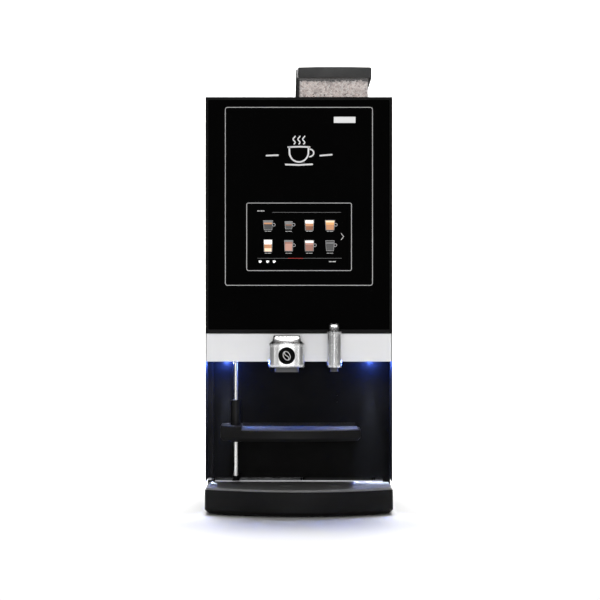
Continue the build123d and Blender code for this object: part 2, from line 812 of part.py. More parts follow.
def hopper_lid():
    """Moulded lid with a bowed front, a hollow underside and two hinge knuckles."""
    low = hopper_rim + gap
    high = low + lid_height
    x_low = hopper_left - lid_overhang_left
    x_high = hopper_right + lid_overhang_right
    y_corner = hopper_front - lid_overhang_front
    y_high = hopper_back + 2.0
    outline = bow_outline(x_low, x_high, y_high, y_corner, y_corner - lid_bulge)
    lid = plate_of(outline, low, high)
    lid = round_corners(lid, [(x_low, y_corner, lid_corner), (x_high, y_corner, lid_corner)])
    lid = fillet(lid.faces().sort_by(Axis.Z)[-1].edges(), lid_edge)
    lid -= plate_of(offset(outline, -lid_wall), low - 1, high - 9.0)
    knuckle_radius = lid_pin_radius + 3.0
    half = 12.0
    for x in (hopper_left + knuckle_inset, hopper_right - knuckle_inset):
        knuckle = across(x - half, x + half, lid_pivot_y, lid_pivot_z, knuckle_radius)
        knuckle += block(x - half, x + half, y_high - lid_wall, lid_pivot_y, low + 1.0,
                         lid_pivot_z + knuckle_radius)
        lid += knuckle - across(x - half - 1, x + half + 1, lid_pivot_y, lid_pivot_z,
                                lid_pin_radius + running)
    return lid


# ---------------------------------------------------------------- grinder
throat_drop = 22.0
gate_thickness = 3.0
gate_travel = 50.0
gate_low = neck_bottom - 11.0
gate_half = 24.0
gate_front_reach = 30.0
gate_back_reach = 26.0
gate_handle_depth = 10.0
gate_handle_gap = 2.0      # the link between plate and handle
throat_half = 30.0
throat_wall = 10.0
feed_half = throat_half - throat_wall
grinder_radius = 54.0
burr_floor = neck_bottom - throat_drop - 70.0
grinder_base = 8.0         # thickness below the burr chamber
grinder_foot = burr_floor - grinder_base
burr_shaft_radius = 5.0


def hopper_gate():
    """Shutter plate: its window lines up with the neck until it is pulled forwards."""
    low = gate_low + gap
    high = gate_low + gate_thickness
    handle_half = 18.0
    link_half = 12.0
    plate_front = hopper_y - gate_front_reach
    handle_back = plate_front - gate_handle_gap
    plate = block(hopper_x - gate_half, hopper_x + gate_half, plate_front,
                  hopper_y + gate_back_reach + gate_travel, low, high)
    plate -= block(hopper_x - feed_half, hopper_x + feed_half, hopper_y - feed_half, hopper_y + feed_half,
                   gate_low - 1, high + 1)
    handle = block(hopper_x - handle_half, hopper_x + handle_half, handle_back - gate_handle_depth,
                   handle_back, gate_low - 6.0, high + 4.0)
    link = block(hopper_x - link_half, hopper_x + link_half, handle_back, plate_front, low, high)
    return plate + handle + link


def grinder_housing():
    """Round burr chamber with a square throat, a gate slot and a front chute."""
    top = neck_bottom - throat_drop
    roof = 6.0
    chamber_wall = 12.0
    chute_half = 18.0
    chute_wall = 3.0
    chute_rise = 24.0
    port_half = 12.0
    body = upright(hopper_x, hopper_y, grinder_foot, top, grinder_radius)
    throat = block(hopper_x - throat_half, hopper_x + throat_half, hopper_y - throat_half,
                   hopper_y + throat_half, top, neck_bottom)
    chamber = upright(hopper_x, hopper_y, burr_floor, top - roof, grinder_radius - chamber_wall)
    feed = block(hopper_x - feed_half, hopper_x + feed_half, hopper_y - feed_half, hopper_y + feed_half,
                 top - roof - 1, neck_bottom + 1)
    slot = block(hopper_x - gate_half - gap, hopper_x + gate_half + gap, hopper_y - throat_half - 1,
                 hopper_y + throat_half + 1, gate_low, gate_low + gate_thickness + gap)
    shaft_hole = upright(hopper_x, hopper_y, grinder_foot - 1, burr_floor + 1, burr_shaft_radius + running)
    chute_x_low = hopper_x - chute_half
    chute_x_high = hopper_x + chute_half
    chute_y_low = brew_y - 15.0
    chute_y_high = hopper_y - 44.0
    chute = block(chute_x_low, chute_x_high, chute_y_low, chute_y_high, chute_low, burr_floor + chute_rise)
    chute_bore = block(chute_x_low + chute_wall, chute_x_high - chute_wall, chute_y_low + chute_wall,
                       chute_y_high - chute_wall, chute_low - 1, burr_floor + chute_rise - chute_wall)
    port = block(hopper_x - port_half, hopper_x + port_half, chute_y_high - 2 * chute_wall, hopper_y - 38.0,
                 burr_floor + 2.0, burr_floor + 20.0)
    return body + throat + chute - chamber - feed - slot - shaft_hole - chute_bore - port


def grinder_burr():
    """Conical burr with twelve straight grooves, on its shaft."""
    middle_z = burr_floor + 22.0
    teeth = 12
    groove_lean = -29
    burr = Pos(hopper_x, hopper_y, middle_z) * Cone(32.0, 12.0, 36.0)
    burr += upright(hopper_x, hopper_y, grinder_foot, burr_floor + 6.0, burr_shaft_radius)
    for index in range(teeth):
        groove = Pos(hopper_x, hopper_y, middle_z) * Rot(0, 0, 360 / teeth * index)
        burr -= groove * Pos(27.5, 0, 0) * Rot(0, groove_lean, 0) * Box(6.0, 3.0, 46.0)
    return burr


# ---------------------------------------------------------------- brewer
brew_x = hopper_x + 1.5
brew_y = cabinet_front + 48.0
brew_half_width = 60.0
brew_front = cabinet_front + 12.0
brew_back = cabinet_front + 136.0
brew_low = 262.0
brew_top = 503.0
chute_low = brew_top + 14.0
chamber_low = 380.0
chamber_high = 468.0
chamber_radius = 30.0
port_z = chamber_high - 12.0
port_reach = 6.0          # of the coffee port outside the chamber wall
piston_radius = 24.0
piston_travel = 40.0
spindle_x = brew_x + 40.0
spindle_radius = 5.0


def brew_frame():
    """Two side plates joined by a foot plate, a chamber plate and a bearing plate."""
    plate = 3.0
    x_low = brew_x - brew_half_width
    x_high = brew_x + brew_half_width
    pieces = []
    for x in (x_low, x_high - plate):
        side = block(x, x + plate, brew_front, brew_back, brew_low, brew_top)
        side -= block(x - 1, x + plate + 1, brew_front + 70.0, brew_back - 14.0, brew_low + 30, brew_top - 30)
        side -= across(x - 1, x + plate + 1, brew_y, port_z, hose_radius + 1)
        pieces.append(side)
    foot = block(x_low + plate, x_high - plate, brew_front, brew_back, brew_low, brew_low + plate)
    bearing = block(x_low + plate, x_high - plate, brew_front, brew_back, brew_top - plate, brew_top)
    bearing -= upright(brew_x - 1.5, brew_y, brew_top - plate - 1, brew_top + 1, 25.0)
    bearing -= upright(spindle_x, brew_y, brew_top - plate - 1, brew_top + 1, spindle_radius + running)
    middle = block(x_low + plate, x_high - plate, brew_front, brew_back, chamber_low - plate, chamber_low)
    middle -= upright(brew_x, brew_y, chamber_low - plate - 1, chamber_low + 1, piston_radius + gap)
    middle -= upright(spindle_x, brew_y, chamber_low - plate - 1, chamber_low + 1, spindle_radius + 1.5)
    pieces += [foot, bearing, middle]
    return pieces[0] + pieces[1:]


def brew_chamber():
    """Open cylinder with a flared mouth and the coffee port on its left."""
    tube = upright(brew_x, brew_y, chamber_low, chamber_high, chamber_radius)
    foot_rim = 5.0
    flare = 2.0
    collar_height = 16.0
    collar_z = chamber_high + collar_height / 2
    tube += upright(brew_x, brew_y, chamber_low, chamber_low + foot_rim, chamber_radius + flare)
    collar = Pos(brew_x, brew_y, collar_z) * Cone(chamber_radius, chamber_radius + flare, collar_height)
    bore = upright(brew_x, brew_y, chamber_low - 1, chamber_high + 1, piston_radius + running)
    mouth = Pos(brew_x, brew_y, collar_z) * Cone(piston_radius, piston_radius + 5.0, collar_height + 0.2)
    port_left = brew_x - chamber_radius - port_reach
    port = across(port_left, brew_x - piston_radius + 4.0, brew_y, port_z, 6.0)
    port_bore = across(port_left - 1, brew_x - piston_radius + 5.0, brew_y, port_z, 3.0)
    return tube + collar + port - bore - mouth - port_bore


def brew_piston():
    """Piston, its rod and the arm with the nut that runs on the spindle."""
    disc_low = chamber_low + 4.0
    disc = upright(brew_x, brew_y, disc_low, disc_low + 12.0, piston_radius)
    rod = upright(brew_x, brew_y, brew_low + 24.0, disc_low, 7.0)
    arm_low = brew_low + 24.0
    arm = block(brew_x - 9.0, spindle_x + 9.0, brew_y - 9.0, brew_y + 9.0, arm_low, arm_low + 12.0)
    nut_hole = upright(spindle_x, brew_y, arm_low - 1, arm_low + 13.0, spindle_radius + running)
    return disc + rod + arm - nut_hole


def brew_spindle():
    """Drive spindle between the foot plate and the bearing plate, with its thrust collar."""
    low = brew_low + 3.0 + gap
    spindle = upright(spindle_x, brew_y, low, brew_top, spindle_radius)
    return spindle + upright(spindle_x, brew_y, low, low + 8.0, 8.0)


bin_low = foot_height + pan_thickness + gap
bin_high = 236.0


def grounds_bin():
    """Open bin under the brewer, with a finger lip at the front."""
    wall = 2.5
    lip_inset = 54.0
    lip_reach = 6.0
    lip_drop = 10.0
    x_low = brew_x - 76.0
    x_high = brew_x + 92.0
    y_low = cabinet_front + 10.0
    y_high = bulkhead_y - 12.0
    bucket = block(x_low, x_high, y_low, y_high, bin_low, bin_high)
    bucket = fillet(bucket.edges().filter_by(Axis.Z), 12.0)
    bucket -= block(x_low + wall, x_high - wall, y_low + wall, y_high - wall, bin_low + wall, bin_high + 1)
    lip = block(x_low + lip_inset, x_high - lip_inset, y_low - lip_reach, y_low, bin_high - lip_drop,
                bin_high)
    return bucket + lip


# ---------------------------------------------------------------- hoses
head_x = -26.4
spout_x = 77.0
drain_rows = 3            # slots under each outlet, in the shelf's and the tray's covers
drain_pitch = 8.0
drain_length = 28.0
drain_step = 4.0          # each outer slot is shorter than the middle one by twice this
drain_width = 3.2
dock_front = cabinet_front + 2.0
manifold_depth = 46.0
hot_dock_depth = 8.5
manifold_half_height = 15.0


def hose(points, bend):
    """A hose along straight runs joined by arcs of one radius."""
    route = FilletPolyline(*points, radius=bend)
    start = Plane(origin=route @ 0, z_dir=route % 0)
    tube = sweep(start * Circle(hose_radius), path=route)
    return tube - sweep(start * Circle(hose_bore), path=route)


def docking_block(x_low, x_high, depth, outlet_x):
    """A block on the cabinet whose mouth meets the door's pipe when the door is shut."""
    low = dock_z - manifold_half_height
    high = dock_z + manifold_half_height
    body = block(x_low, x_high, dock_front, dock_front + depth, low, high)
    body = fillet(body.edges().filter_by(Axis.Y), 4.0)
    return body - deep(outlet_x, dock_front - 1, dock_front + depth - 2.0, dock_z, 5.0)


def product_hoses():
    """Docking blocks, and the hoses that feed them from bowls, brewer and boiler."""
    first_x, second_x = canister_places()
    hose_y = bowl_y
    block_high = dock_z + manifold_half_height
    manifold_left = second_x - 12.0
    port_x = brew_x - chamber_radius - port_reach
    hot_hose_y = dock_front + hot_dock_depth / 2
    drop_x = head_x + 12.0
    bend = 22.0
    pieces = [docking_block(manifold_left, head_x + 26.0, manifold_depth, head_x),
              docking_block(spout_x - 12.0, spout_x + 12.0, hot_dock_depth, spout_x)]
    pieces.append(hose([(first_x, hose_y, bowl_foot), (first_x, hose_y, dock_z),
                        (manifold_left, hose_y, dock_z)], bend))
    straight = upright(second_x, hose_y, block_high, bowl_foot, hose_radius)
    pieces.append(straight - upright(second_x, hose_y, block_high - 1, bowl_foot + 1, hose_bore))
    pieces.append(hose([(port_x, brew_y, port_z), (drop_x, brew_y, port_z),
                        (drop_x, brew_y, block_high)], bend))
    pieces.append(hose([(spout_x + 12.0, hot_hose_y, dock_z), (hot_x, hot_hose_y, dock_z),
                        (hot_x, port_face, dock_z)], bend))
    return Compound(children=pieces)


# ================================================================ door
head_width = 78.0
head_proud = 60.0
head_low = 319.0
head_high = 370.0
spout_width = 32.0
spout_proud = 50.0
spout_low = 318.0
spout_high = 396.5
cover_wall = 2.5
nozzle_drop = 10.5
pipe_z = dock_z
pipe_radius = 6.0
screen_centre_x = 0.4
screen_half_width = 115.5
screen_low = 528.8
screen_high = 678.3


def door_side_rails():
    """Left rail with the hinge post, right rail with the lock hole; both thin beside the niche."""
    left_rail = block(left, left + frame_border, door_front, hinge_y - hinge_inset, band_top, door_top)
    left_rail += block(left, left + cheek, door_front, hinge_y - hinge_inset, door_bottom, band_top)
    post = block(left, left + post_size, hinge_y - hinge_inset, door_back, door_bottom, door_top)
    corner = post.edges().filter_by(Axis.Z).sort_by(Axis.X)[:2].sort_by(Axis.Y)[-1]
    post = fillet(corner, hinge_inset - 0.01)
    rail = left_rail + post
    pocket_low = cabinet_height - sheet - lug_thickness - lug_gap / 4
    rail -= block(left - 1, left + post_size + 1, hinge_y - hinge_inset - 4.0, door_back + 1,
                  pocket_low, door_top + 1)
    hole = hinge_pin_radius + running
    rail -= upright(hinge_x, hinge_y, door_bottom - 1, door_bottom + 12.0, hole)
    rail -= upright(hinge_x, hinge_y, pocket_low - 14.0, pocket_low + 1, hole)
    right_rail = block(right - frame_border, right, door_front, door_back, band_top, door_top)
    right_rail += block(right - cheek, right, door_front, door_back, door_bottom, band_top)
    right_rail -= across(right - frame_border - 1, right + 1, lock_y, lock_z, lock_radius)
    return Compound(children=[rail, right_rail])


def door_cross_rails():
    """Top rail, and the rail between the glass and the band."""
    x_low = left + frame_border
    x_high = right - frame_border
    top = block(x_low, x_high, door_front, door_back, door_top - frame_border, door_top)
    top -= block(left, left + post_size + 1, hinge_y - hinge_inset - 4.0, door_back + 1,
                 door_top - frame_border - 1, door_top + 1)
    low = block(x_low, x_high, door_front, door_back - liner_thickness, band_top, rail_top)
    low -= block(left, left + post_size + gap, hinge_y - hinge_inset - gap, door_back, band_top - 1,
                 rail_top + 1)
    return Compound(children=[top, low])


def door_glass():
    slack = 0.2
    pane = block(left + frame_border + slack, right - frame_border - slack, door_front + gap,
                 door_front + gap + glass_thickness, rail_top + slack, door_top - frame_border - slack)
    return chamfer(pane.edges().filter_by(Axis.Z), 0.6)


def touchscreen():
    """Display module bonded to the back of the glass, with its metal case."""
    y = door_front + gap + glass_thickness
    panel_depth = 6.0
    case_depth = 14.0
    case_border = 8.0
    half = screen_half_width
    panel = block(screen_centre_x - half, screen_centre_x + half, y, y + panel_depth,
                  screen_low, screen_high)
    case = block(screen_centre_x - half - case_border, screen_centre_x + half + case_border,
                 y + panel_depth, y + panel_depth + case_depth, screen_low - case_border,
                 screen_high + case_border)
    return panel + chamfer(case.edges().group_by(Axis.Y)[-1], 3.0)


def door_liner():
    """Sheet that closes the back of the door, with openings for pipes and lock cam."""
    liner = block(left + post_size + gap, right - frame_border, door_back - liner_thickness, door_back,
                  niche_top + ceiling_thickness, door_top - frame_border)
    pipe_room = 6.0
    vent_rows = 8
    pitch = 10.0
    slot_height = 4.0
    slot_half_width = 45.0
    inside = door_back - 2 * liner_thickness
    cuts = [deep(x, inside, door_back + 1, pipe_z, pipe_radius + pipe_room) for x in (head_x, spout_x)]
    cuts.append(block(cam_x_high - cam_thickness - cam_clearance, cam_x_high + cam_clearance, inside,
                      door_back + 1, lock_z - cam_half_width - cam_clearance,
                      lock_z + cam_length + cam_clearance))
    for row in range(vent_rows):
        z = screen_high + 60.0 + row * pitch
        cuts.append(block(-slot_half_width, slot_half_width, inside, door_back + 1, z, z + slot_height))
    return liner - cuts


def control_board():
    """Circuit board on posts from the liner, with its connectors, heat sink and capacitors."""
    x_low = -150.0
    x_high = -20.0
    low = screen_low + 20.0
    high = screen_high - 10.0
    board_thickness = 1.6
    post_length = 16.0
    post_inset = 6.0
    y = door_back - liner_thickness - post_length
    face = y - board_thickness
    board = block(x_low, x_high, face, y, low, high)
    for x in (x_low + post_inset, x_high - post_inset):
        for z in (low + post_inset, high - post_inset):
            board += deep(x, y, door_back - liner_thickness, z, 3.0)
    heat_sink = block(x_low + 20, x_low + 60, face - 14.0, face, high - 50, high - 14)
    chip = block(x_high - 44, x_high - 22, face - 3.0, face, low + 40, low + 62)
    board += heat_sink + chip
    connectors = 5
    connector_pitch = 21.0
    connector_width = 15.0
    for index in range(connectors):
        x = x_low + 18 + index * connector_pitch
        board += block(x, x + connector_width, face - 10.0, face, low + 4, low + 14)
    capacitors = 3
    capacitor_pitch = 13.0
    for index in range(capacitors):
        board += deep(x_high - 40 + index * capacitor_pitch, face - 16.0, face, high - 26, 5.0)
    return board


def fascia_band():
    """Pale band across the door, a channel with a return at its top edge."""
    slack = 0.2
    skin = 2.5
    fold_depth = 14.0
    head_window_half = 26.0
    spout_window_half = 10.0
    x_low = left + cheek + slack
    x_high = right - cheek - slack
    high = band_top - slack
    plate = block(x_low, x_high, door_front, door_front + skin, niche_top, high)
    plate = chamfer(plate.edges().filter_by(Axis.X).group_by(Axis.Y)[0], 1.0)
    fold = block(x_low, x_high, door_front + skin, door_front + fold_depth, high - skin, high)
    head_window = block(head_x - head_window_half, head_x + head_window_half, door_front - 1,
                        door_front + skin + 1, pipe_z - 18, pipe_z + 8)
    spout_window = block(spout_x - spout_window_half, spout_x + spout_window_half, door_front - 1,
                         door_front + skin + 1, pipe_z - 14, pipe_z + 14)
    return plate + fold - head_window - spout_window


lamp_places = (left + 43.0, right - 46.0)
lamp_radius = 8.0
lamp_y = backsplash_front - 15.0
lamp_recess = 0.4
guide_hole_x = 85.4
guide_hole_radius = 1.5
guide_holes_z = (237.0, 252.0)
rod_socket_half = 8.0
rod_socket_height = 11.0
rod_socket_floor = 4.0


def niche_liner():
    """Ceiling and back wall of the niche, and the arm that holds the rod's foot."""
    ceiling = block(left + cheek, right - cheek, door_front + 2.5, backsplash_front, niche_top,
                    niche_top + ceiling_thickness)
    ceiling -= block(left, left + post_size + gap, hinge_y - hinge_inset - gap, door_back,
                     niche_top - 1, niche_top + ceiling_thickness + 1)
    for x in lamp_places:
        ceiling -= upright(x, lamp_y, niche_top - 1, niche_top + ceiling_thickness + 1, lamp_radius + gap)
    back = block(left + post_size + gap, right - cheek, backsplash_front, door_back - gap, door_bottom,
                 niche_top + ceiling_thickness)
    for z in guide_holes_z:
        back -= deep(guide_hole_x, backsplash_front - 1, backsplash_front + 5, z, guide_hole_radius)
    arm_top = door_bottom + rod_socket_height
    arm = block(rod_x - rod_socket_half, rod_x + rod_socket_half, rod_y, backsplash_front,
                door_bottom + gap, arm_top)
    arm += upright(rod_x, rod_y, door_bottom + gap, arm_top, rod_socket_half)
    arm -= upright(rod_x, rod_y, door_bottom + rod_socket_floor, arm_top + 1, rod_radius)
    return Compound(children=[ceiling, back + arm])


def led_lenses():
    """Two round lamp lenses, recessed in the niche ceiling."""
    lenses = []
    for x in lamp_places:
        lens = upright(x, lamp_y, niche_top + lamp_recess, niche_top + ceiling_thickness, lamp_radius)
        lenses.append(chamfer(lens.edges().sort_by(Axis.Z)[0], 0.8))
    return Compound(children=lenses)


def cover_outline(centre_x, width, proud, corner, bulge):
    """Plan of an outlet cover: straight sides, rounded corners and a slightly bowed front."""
    half = width / 2
    front = door_front - proud
    turn = corner * (1 - math.sqrt(0.5))
    outline = [
        Line((half, 0), (half, -(proud - bulge - corner))),
        ThreePointArc((half, -(proud - bulge - corner)), (half - turn, -(proud - bulge - turn)),
                      (half - corner, -(proud - bulge))),
        ThreePointArc((half - corner, -(proud - bulge)), (0, -proud), (corner - half, -(proud - bulge))),
        ThreePointArc((corner - half, -(proud - bulge)), (turn - half, -(proud - bulge - turn)),
                      (-half, -(proud - bulge - corner))),
        Line((-half, -(proud - bulge - corner)), (-half, 0)),
        Line((-half, 0), (half, 0)),
    ]
    return Pos(centre_x, door_front, 0) * make_face(outline)


def outlet_cover(centre_x, width, proud, corner, bulge, low, high, shoulder, step, peak, lean):
    """A hollow cover: bevelled shoulder, then a cap with a 45 degree front and leaning sides."""
    outline = cover_outline(centre_x, width, proud, corner, bulge)
    body = plate_of(outline, low, high)
    bevel = loft([Pos(0, 0, high) * outline, Pos(0, 0, high + shoulder) * offset(outline, -step)])
    base = high + shoulder
    rise = peak - base
    cap = plate_of(offset(outline, -step), base, peak)
    front = door_front - proud + step
    cap -= prism_along_x([(front - 1, base - 1), (front + rise + 1, peak + 1), (front - 1, peak + 1)],
                         centre_x - width, centre_x + width)
    for side in (-1, 1):
        edge = centre_x + side * (width / 2 - step)
        cap -= prism_along_y([(edge, base), (edge - side * lean, peak), (edge - side * lean, peak + 1),
                              (edge + side, peak + 1), (edge + side, base)], front - proud, door_front + 1)
    cover = body + bevel + cap
    cover &= block(left, right, tray_front, door_front, low, peak)
    half = width / 2 - cover_wall
    hollow = plate_of(offset(outline, -cover_wall), low - 1, high - 2.0)
    hollow += block(centre_x - half + corner / 2, centre_x + half - corner / 2,
                    door_front - 2 * cover_wall, door_front + 1, low + 8.0, high - 2.0)
    return cover - hollow


def head_cover():
    """Wide cover over the coffee outlets."""
    return outlet_cover(head_x, head_width, head_proud, corner=14.0, bulge=3.0, low=head_low,
                        high=head_high, shoulder=6.0, step=8.0, peak=387.5, lean=2.6)


def spout_cover():
    """Narrow, taller cover over the hot-water outlet."""
    return outlet_cover(spout_x, spout_width, spout_proud, corner=12.0, bulge=3.8, low=spout_low,
                        high=spout_high, shoulder=4.5, step=4.5, peak=413.0, lean=1.9)


def outlet_nozzles():
    """Nozzle block of the head with two outlets, and the round ringed spout nozzle."""
    pipe_bore = 4.0
    drop_bore = 3.6
    drop_radius = pipe_radius - 0.5
    head_y = door_front - head_proud / 2
    head_drop_y = head_y + 8.0
    block_half_width = 26.0
    block_half_depth = 17.0
    outlet_spread = 12.0
    outlet_radius = 3.5
    gallery_low = head_low + 2.0
    gallery_high = head_low + 8.0
    head_nozzle = block(head_x - block_half_width, head_x + block_half_width, head_y - block_half_depth,
                        head_y + block_half_depth, head_low - nozzle_drop, head_low + 14.0)
    head_nozzle = fillet(head_nozzle.edges().filter_by(Axis.Z), 7.0)
    head_nozzle += deep(head_x, head_y + 1, door_back - gap, pipe_z, pipe_radius)
    head_nozzle += upright(head_x, head_drop_y, head_low + 10.0, pipe_z, drop_radius)
    head_bore = deep(head_x, head_y + 4, door_back + 1, pipe_z, pipe_bore)
    head_bore += upright(head_x, head_drop_y, head_low + 4.0, pipe_z, drop_bore)
    for x in (head_x - outlet_spread, head_x + outlet_spread):
        head_bore += upright(x, head_y + 2, head_low - nozzle_drop - 1, gallery_high, outlet_radius)
    gallery_half = outlet_spread + outlet_radius
    head_bore += block(head_x - gallery_half, head_x + gallery_half, head_y - 1.5, head_y + 11,
                       gallery_low, gallery_high)
    spout_y = door_front - spout_proud / 2
    spout_tip = spout_low - 9.0
    spout_radius = 8.5
    rings = 3
    ring_pitch = 2.6
    ring_height = 0.9
    ring_depth = 0.6
    spout_nozzle = upright(spout_x, spout_y, spout_tip, spout_low + 12.0, spout_radius)
    for index in range(rings):
        z = spout_tip + 1.6 + index * ring_pitch
        ring = upright(spout_x, spout_y, z, z + ring_height, spout_radius + 0.5)
        spout_nozzle -= ring - upright(spout_x, spout_y, z, z + ring_height, spout_radius - ring_depth)
    spout_nozzle += deep(spout_x, spout_y - 7, door_back - gap, pipe_z, pipe_radius)
    spout_nozzle += upright(spout_x, spout_y, spout_low + 8.0, pipe_z, drop_radius)
    spout_bore = deep(spout_x, spout_y - 4, door_back + 1, pipe_z, pipe_bore)
    spout_bore += upright(spout_x, spout_y, spout_tip - 1, pipe_z, drop_bore)
    return Compound(children=[head_nozzle - head_bore, spout_nozzle - spout_bore])


def shelf_rod():
    """Chromed rod between the socket at the niche's foot and its ceiling."""
    press_fit = 0.05
    rod = upright(rod_x, rod_y, door_bottom + rod_socket_floor + gap, niche_top, rod_radius - press_fit)
    return chamfer(rod.edges().sort_by(Axis.Z)[0], 0.8)


def lock_barrel():
    """Lock barrel with a key slot, its boss inside the door and the stem that turns the cam."""
    barrel = across(cam_x_high + gap, right, lock_y, lock_z, lock_radius - running)
    barrel -= block(right - 3.0, right + 1, lock_y - 1.0, lock_y + 1.0, lock_z - 4.5, lock_z + 4.5)
    boss = across(cam_x_high + gap, right - frame_border, lock_y, lock_z, lock_radius + 3.0)
    boss -= across(cam_x_high, right - frame_border + 1, lock_y, lock_z, lock_radius - running)
    stem = across(cam_x_high - cam_thickness - 2.0, cam_x_high + gap, lock_y, lock_z, stem_radius)
    return barrel + boss + stem


def lock_cam():
    """Cam with an arc slot that closes over the striker pin as it swings down to the rear."""
    x_low = cam_x_high - cam_thickness
    reach = cam_length
    disc = across(x_low, cam_x_high, lock_y, lock_z, reach)
    half = cam_half_width
    arm = block(x_low, cam_x_high, lock_y - half, lock_y + half, lock_z, lock_z + reach + 1)
    cam = (disc & arm) + across(x_low, cam_x_high, lock_y, lock_z, half)
    slot_outer = across(x_low - 1, cam_x_high + 1, lock_y, lock_z, cam_reach + striker_radius + gap)
    slot_inner = across(x_low - 1, cam_x_high + 1, lock_y, lock_z, cam_reach - striker_radius - gap)
    slot_side = block(x_low - 1, cam_x_high + 1, lock_y - striker_radius - gap, lock_y + half + 1,
                      lock_z, lock_z + reach + 1)
    cam -= (slot_outer - slot_inner) & slot_side
    return cam - across(x_low - 1, cam_x_high + 1, lock_y, lock_z, stem_radius + running)


# ================================================================ cup shelf
shelf_left = rod_x - 33.0
shelf_right = right - 70.0
shelf_back = backsplash_front - 3.5
shelf_corner_y = door_front - 16.0
shelf_front = door_front - 55.0
shelf_low = 157.0
shelf_rim = 181.0
shelf_rear_rim = 190.0
shelf_wall = 3.0
hub_width = 46.5
sleeve_top = 245.0
sleeve_radius = 11.5
hub_radius_inner = 8.0
grid_margin = 7.0
hub_corner = 24.0         # lets the hub turn past the back wall
shelf_drain_y = door_front + 5.0
shelf_corner = 8.0
shelf_bevel = 7.0


def shelf_sleeve():
    """Sleeve that slides on the rod; the shelf's hub turns on its lower part."""
    sleeve = upright(rod_x, rod_y, shelf_rear_rim + gap, sleeve_top, sleeve_radius)
    sleeve = chamfer(sleeve.edges().sort_by(Axis.Z)[-1], 1.2)
    sleeve += upright(rod_x, rod_y, shelf_low - 1.0, shelf_rear_rim + gap, hub_radius_inner)
    sleeve += upright(rod_x, rod_y, shelf_low - 4.0, shelf_low - gap, hub_radius_inner + 3.5)
    return sleeve - upright(rod_x, rod_y, shelf_low - 5, sleeve_top + 1, rod_radius + running / 2)


def shelf_outline():
    return bow_outline(shelf_left, shelf_right, shelf_back, shelf_corner_y, shelf_front)


def round_corners(body, corners):
    """Round the upright edges nearest to the given plan corners."""
    for x, y, radius in corners:
        edges = body.edges().filter_by(Axis.Z)
        body = fillet(edges.sort_by_distance((x, y, edges[0].center().Z))[0], radius)
    return body


def cup_shelf():
    """Shallow catch tray with a raised rear rim and the block that turns on the sleeve."""
    outline = shelf_outline()
    corners = [(shelf_left, shelf_back, hub_corner), (shelf_right, shelf_back, shelf_corner),
               (shelf_left, shelf_corner_y, shelf_corner), (shelf_right, shelf_corner_y, shelf_corner)]
    body = round_corners(plate_of(outline, shelf_low, shelf_rim), corners)
    body = chamfer(body.faces().sort_by(Axis.Z)[0].edges(), shelf_bevel)
    hub = plate_of(outline, shelf_rim, shelf_rear_rim)
    hub &= block(shelf_left, shelf_left + hub_width, shelf_front, shelf_back, shelf_rim, shelf_rear_rim)
    hub = round_corners(hub, [corners[0], corners[2]])
    hub = chamfer(hub.faces().sort_by(Axis.Z)[-1].edges(), 1.5)
    rim = block(shelf_left + hub_width, shelf_right - 10.0, shelf_back - shelf_wall, shelf_back,
                shelf_rim, shelf_rear_rim)
    basin = plate_of(offset(outline, -grid_margin - gap), shelf_low + 8.0, shelf_rim + 1)
    basin &= block(shelf_left + hub_width + 2.0, shelf_right, shelf_front, shelf_back,
                   shelf_low, shelf_rim + 1)
    seat = plate_of(offset(outline, -shelf_wall - 2.0), shelf_rim - 3.0, shelf_rim + 1)
    seat &= block(shelf_left + hub_width, shelf_right, shelf_front, shelf_back - shelf_wall - gap,
                  shelf_low, shelf_rim + 1)
    bore = upright(rod_x, rod_y, shelf_low - 1, shelf_rear_rim + 1, hub_radius_inner + running)
    return body + hub + rim - basin - seat - bore


def shelf_grid():
    """Lift-out cover of the shelf, with drain slots under both outlets."""
    inset = shelf_wall + 2.0 + gap
    x_low = shelf_left + hub_width + gap
    y_high = shelf_back - shelf_wall - 2 * gap
    low = shelf_rim - 3.0 + gap
    high = shelf_rim + 2.0
    plate = plate_of(offset(shelf_outline(), -inset), low, high)
    plate &= block(x_low, shelf_right, shelf_front, y_high, low, high)
    plate = chamfer(plate.faces().sort_by(Axis.Z)[-1].edges(), 0.6)
    return plate - drains(shelf_drain_y, low, high)


# ================================================================ drip tray
tray_half_width = right - 1.0
tray_back = backsplash_front - 11.5
tray_corner_y = tray_front + 65.0
tray_low = 3.0
tray_rim = 54.5
tray_wall = 3.5
tray_floor_low = 20.0
tray_floor_high = 23.0
tray_grid_top = 59.0
tray_seat = 51.0
tray_slack = 0.5
tray_corner = 10.0
tray_bevel = 8.5
tray_drain_y = door_front - 20.0


def tray_outline():
    return bow_outline(-tray_half_width, tray_half_width, tray_back, tray_corner_y, tray_front)


def drip_tray():
    """Deep tray with a bevelled skirt; hollow below its floor where the support arms run."""
    outline = tray_outline()
    body = plate_of(outline, tray_low, tray_rim)
    body = round_corners(body, [(-tray_half_width, tray_corner_y, tray_corner),
                                (tray_half_width, tray_corner_y, tray_corner)])
    body = chamfer(body.faces().sort_by(Axis.Z)[0].edges(), tray_bevel)
    body = chamfer(body.faces().sort_by(Axis.Z)[-1].edges(), 1.2)
    inside = plate_of(offset(outline, -tray_wall - 6.0), tray_floor_high, tray_rim + 1)
    seat = plate_of(offset(outline, -tray_wall), tray_seat, tray_rim + 1)
    reach = cabinet_front - arm_reach - 8.0
    under = block(-arm_x - arm_width, arm_x + arm_width, reach, tray_back + 1, tray_low - 1,
                  tray_floor_low)
    return body - inside - seat - under


